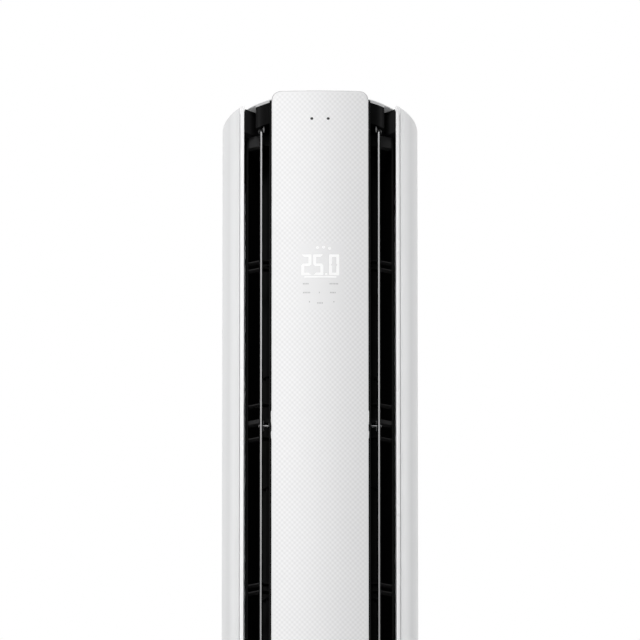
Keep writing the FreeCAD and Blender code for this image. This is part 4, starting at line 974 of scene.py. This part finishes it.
def makeClip(side, look):
    x = side * (vanePinX - look["clipReach"])
    thick, depth = look["clipThick"] / 2, look["clipDepth"] / 2
    slot, reach = look["clipSlot"] / 2, look["clipHeight"] / 2
    parts = [roundedBlock("clip_plate", (x - thick, vanePinY - depth, bracketLevel + foot),
                          (x + thick, vanePinY + depth, bracketLevel + head), look["clipRound"])
             for foot, head in ((slot, reach), (-reach, -slot))]
    for level in look["knuckles"]:
        parts.append(latheMesh("knuckle", x, vanePinY - depth,
                               [(radius, bracketLevel + level + rise)
                                for radius, rise in look["knuckleSection"]],
                               look["knuckleFacets"]))
    return joinMeshes("vane_hinge_clip", parts)


# A small leaf-shaped lug in front of the collar.
def makeLug(side, look):
    x, y = look["lugPlace"]
    foot, head = look["lugFoot"], look["lugHead"]
    middle, half = (foot + head) / 2, (head - foot) / 2
    leastReach, leastThick = look["lugTips"]
    loops = []
    for step in range(look["lugSteps"] + 1):
        share = -1.0 + 2.0 * step / look["lugSteps"]
        reach = look["lugWidth"] / 2 * max(1.0 - share * share, leastReach)
        thick = look["lugThick"] / 2 * max(1.0 - share * share, leastThick)
        loops.append([(side * (x + reach * math.cos(math.radians(turn))),
                       y + thick * math.sin(math.radians(turn)), middle + half * share)
                      for turn in range(0, 360, 30)])
    return loftRings("vane_lug", loops)


# A short arm that holds the lug and reaches back to the collar.
def makeLugArm(side, look):
    x, y = look["lugPlace"]
    left, right = sorted(side * (x + reach) for reach in look["lugArmSides"])
    return roundedBlock("vane_lug_arm",
                        (left, y + look["lugArmFront"], look["lugFoot"] + look["lugArmFoot"]),
                        (right, vanePinY - look["lugArmBack"], look["lugFoot"] + look["lugArmHead"]),
                        look["lugArmRound"])


for side, end in sides:
    addPiece("vane_lug_" + end, makeLug(side, hingeLook), finishes["clip_steel"],
             body=end + "_vane")
    addPiece("vane_lug_arm_" + end, makeLugArm(side, hingeLook), finishes["collar_black"],
             body=end + "_vane")
    addPiece("vane_collar_" + end, makeCollar(side, hingeLook), finishes["collar_black"],
             body=end + "_vane", sharp=60.0)
    addPiece("vane_bracket_arm_" + end, makeArm(side, hingeLook), finishes["bracket_steel"],
             standsFor=("vane_bracket_" + end,))
    addPiece("vane_bracket_foot_" + end, makeFoot(side, hingeLook), finishes["black_matte"])
    addPiece("vane_hinge_clip_" + end, makeClip(side, hingeLook), finishes["clip_steel"],
             body=end + "_vane")
print("vane hinges made")


# Filter nets: crossed wires bent to the filter's curve, with a thin bead round the edge

netLook = {
    "pitch": 5.0 * mm,
    "wire": 0.45 * mm,
    "bead": 1.6 * mm,
    "arcSteps": 10,
}


# A wire with a square section between two levels, at one place on the curve.
def uprightWire(work, angle, radius, half, low, high):
    corners = []
    for z in (low, high):
        for across, reach in ((-half, -half), (half, -half), (half, half), (-half, half)):
            turn = angle + across / radius
            corners.append(work.verts.new(((radius + reach) * math.cos(turn),
                                           (radius + reach) * math.sin(turn), z)))
    for quad in ((0, 1, 2, 3), (4, 7, 6, 5), (0, 4, 5, 1), (1, 5, 6, 2), (2, 6, 7, 3), (3, 7, 4, 0)):
        work.faces.new([corners[index] for index in quad])


# A wire that follows the curve between two angles, at one level.
def curvedWire(work, start, end, steps, radius, half, level, tall):
    loops = []
    for step in range(steps + 1):
        turn = start + (end - start) * step / steps
        loops.append([work.verts.new((reach * math.cos(turn), reach * math.sin(turn), z))
                      for reach, z in ((radius - half, level - tall), (radius + half, level - tall),
                                       (radius + half, level + tall), (radius - half, level + tall))])
    for near, far in zip(loops, loops[1:]):
        for index in range(4):
            after = (index + 1) % 4
            work.faces.new((near[index], near[after], far[after], far[index]))
    work.faces.new(list(reversed(loops[0])))
    work.faces.new(loops[-1])


def makeNet(end, look):
    low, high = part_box("filter_mesh_" + end)
    near, far = min(abs(low[0]), abs(high[0])), max(abs(low[0]), abs(high[0]))
    outer = math.hypot(near, high[1])
    radius = outer - look["wire"] / 2
    first, last = math.acos(far / radius), math.acos(near / radius)
    if end == "left":
        first, last = math.pi - last, math.pi - first
    work = bmesh.new()
    half = look["wire"] / 2
    inset = look["bead"] / 2 / radius
    count = round((last - first) * radius / look["pitch"])
    for step in range(1, count):
        uprightWire(work, first + (last - first) * step / count, radius, half,
                    low[2] + look["bead"], high[2] - look["bead"])
    rows = round((high[2] - low[2]) / look["pitch"])
    for row in range(1, rows):
        curvedWire(work, first + inset, last - inset, look["arcSteps"], radius, half,
                   low[2] + (high[2] - low[2]) * row / rows, half)
    for z in (low[2] + look["bead"] / 2, high[2] - look["bead"] / 2):
        curvedWire(work, first, last, look["arcSteps"] * 2, radius, half, z, look["bead"] / 2)
    for angle in (first + inset, first + 2 * inset, last - inset, last - 2 * inset):
        uprightWire(work, angle, radius, half, low[2], high[2])
    bmesh.ops.recalc_face_normals(work, faces=work.faces)
    return meshOf("filter_net", work)


for end in ("right", "left"):
    addPiece("filter_net_" + end, makeNet(end, netLook), finishes["mesh_grey"], body=end + "_filter",
             standsFor=("filter_mesh_" + end,))
print("filter nets made")


# Camera: low, in front, looking up at the upper part of the column

cameraLook = {
    "tilt": 27.0,        # degrees above level
    "distance": 54.0,    # metres
    "aimHeight": 1.360,
    "lens": 1522.65,
    "sensor": 36.0,
    "farthest": 200.0,
}


def addCamera(look):
    tilt = math.radians(look["tilt"])
    data = bpy.data.cameras.new("camera")
    data.lens = look["lens"]
    data.sensor_width = look["sensor"]
    data.clip_end = look["farthest"]
    camera = bpy.data.objects.new("camera", data)
    camera.location = (0.0, -look["distance"] * math.cos(tilt),
                       look["aimHeight"] - look["distance"] * math.sin(tilt))
    camera.rotation_euler = Euler((math.radians(90.0) + tilt, 0.0, 0.0))
    scene.collection.objects.link(camera)
    scene.camera = camera


addCamera(cameraLook)


# Lamps: a broad key a little to the left of the front, two soft ones beside each shell, and one
# high up behind.
# Angles are in degrees: side is counted from the front towards the right, rise from level.

lampLooks = {
    "keyLamp": {"side": -11.0, "rise": 27.0, "width": 3.1, "height": 3.1, "power": 256.0},
    "nearLeftLamp": {"side": -70.0, "rise": 27.0, "width": 3.0, "height": 3.5, "power": 139.0},
    "leftLamp": {"side": -103.0, "rise": 27.0, "width": 5.2, "height": 3.5, "power": 82.0},
    "nearRightLamp": {"side": 85.0, "rise": 27.0, "width": 5.2, "height": 3.5, "power": 48.0},
    "rightLamp": {"side": 103.0, "rise": 27.0, "width": 5.2, "height": 3.5, "power": 138.0},
    "topLamp": {"side": 180.0, "rise": 62.0, "width": 3.5, "height": 3.5, "power": 150.0},
}
lampDistance = 8.0
lampAim = Vector((0.0, 0.0, 1.2))


def addLamps(looks):
    for name, look in looks.items():
        data = bpy.data.lights.new(name, "AREA")
        data.shape = "RECTANGLE"
        data.size = look["width"]
        data.size_y = look["height"]
        data.energy = look["power"]
        lamp = bpy.data.objects.new(name, data)
        side, rise = math.radians(look["side"]), math.radians(look["rise"])
        away = Vector((math.sin(side) * math.cos(rise), -math.cos(side) * math.cos(rise),
                       math.sin(rise)))
        lamp.location = lampAim + lampDistance * away
        lamp.rotation_euler = away.to_track_quat("Z", "Y").to_euler()
        lamp.visible_camera = False
        scene.collection.objects.link(lamp)


addLamps(lampLooks)

roomLook = {
    "light": 0.155,
    "backdrop": 1.0,
    "floor": (0.86, 0.86, 0.86),
    "floorSize": 60.0,       # metres
    "floorFinish": {"roughness": 0.7, "specular": 0.2},
    "cloudSize": 0.4,
    "cloudDepth": 0.985,
}


def lightRoom(look):
    world = bpy.data.worlds.new("room")
    scene.world = world
    world.use_nodes = True
    tree = world.node_tree
    tree.nodes.clear()
    ray = addNode(tree, "ShaderNodeLightPath")
    seen = calc(tree, "MAXIMUM", ray.outputs["Is Camera Ray"],
                calc(tree, "MAXIMUM", ray.outputs["Is Glossy Ray"], ray.outputs["Is Transmission Ray"]))
    lit = addNode(tree, "ShaderNodeBackground", Strength=look["light"])
    shown = addNode(tree, "ShaderNodeBackground", Strength=look["backdrop"])
    lit.inputs["Color"].default_value = (1.0, 1.0, 1.0, 1.0)
    shown.inputs["Color"].default_value = (1.0, 1.0, 1.0, 1.0)
    mix = addNode(tree, "ShaderNodeMixShader")
    out = addNode(tree, "ShaderNodeOutputWorld")
    wire(tree, seen, mix.inputs[0], lit.outputs[0], mix.inputs[1], shown.outputs[0], mix.inputs[2],
         mix.outputs[0], out.inputs[0])


# The floor is seen from above only, so a low camera looks up through it.
def layFloor(look):
    half = look["floorSize"] / 2
    mesh = bpy.data.meshes.new("floor")
    mesh.from_pydata([(-half, -half, 0), (half, -half, 0), (half, half, 0), (-half, half, 0)], [],
                     [(0, 1, 2, 3)])
    floor = bpy.data.objects.new("floor", mesh)
    scene.collection.objects.link(floor)
    finish, tree, shader = startFinish("floor_finish", {**plainLook, **look["floorFinish"]})
    cloud = speckle(tree, objectPoint(tree), look["cloudSize"], cloudDetail)
    pale = look["floor"]
    dim = tuple(channel * look["cloudDepth"] for channel in pale)
    wire(tree, blendColours(tree, between(tree, cloud, 0.0, 1.0), dim, pale), shader.inputs["Base Color"])
    side = addNode(tree, "ShaderNodeNewGeometry")
    clear = addNode(tree, "ShaderNodeBsdfTransparent")
    mix = addNode(tree, "ShaderNodeMixShader")
    out = tree.nodes["Material Output"]
    wire(tree, side.outputs["Backfacing"], mix.inputs[0], shader.outputs[0], mix.inputs[1],
         clear.outputs[0], mix.inputs[2], mix.outputs[0], out.inputs["Surface"])
    mesh.materials.append(finish)


lightRoom(roomLook)
layFloor(roomLook)
scene.view_settings.view_transform = "Standard"
print("camera, lamps and floor set")
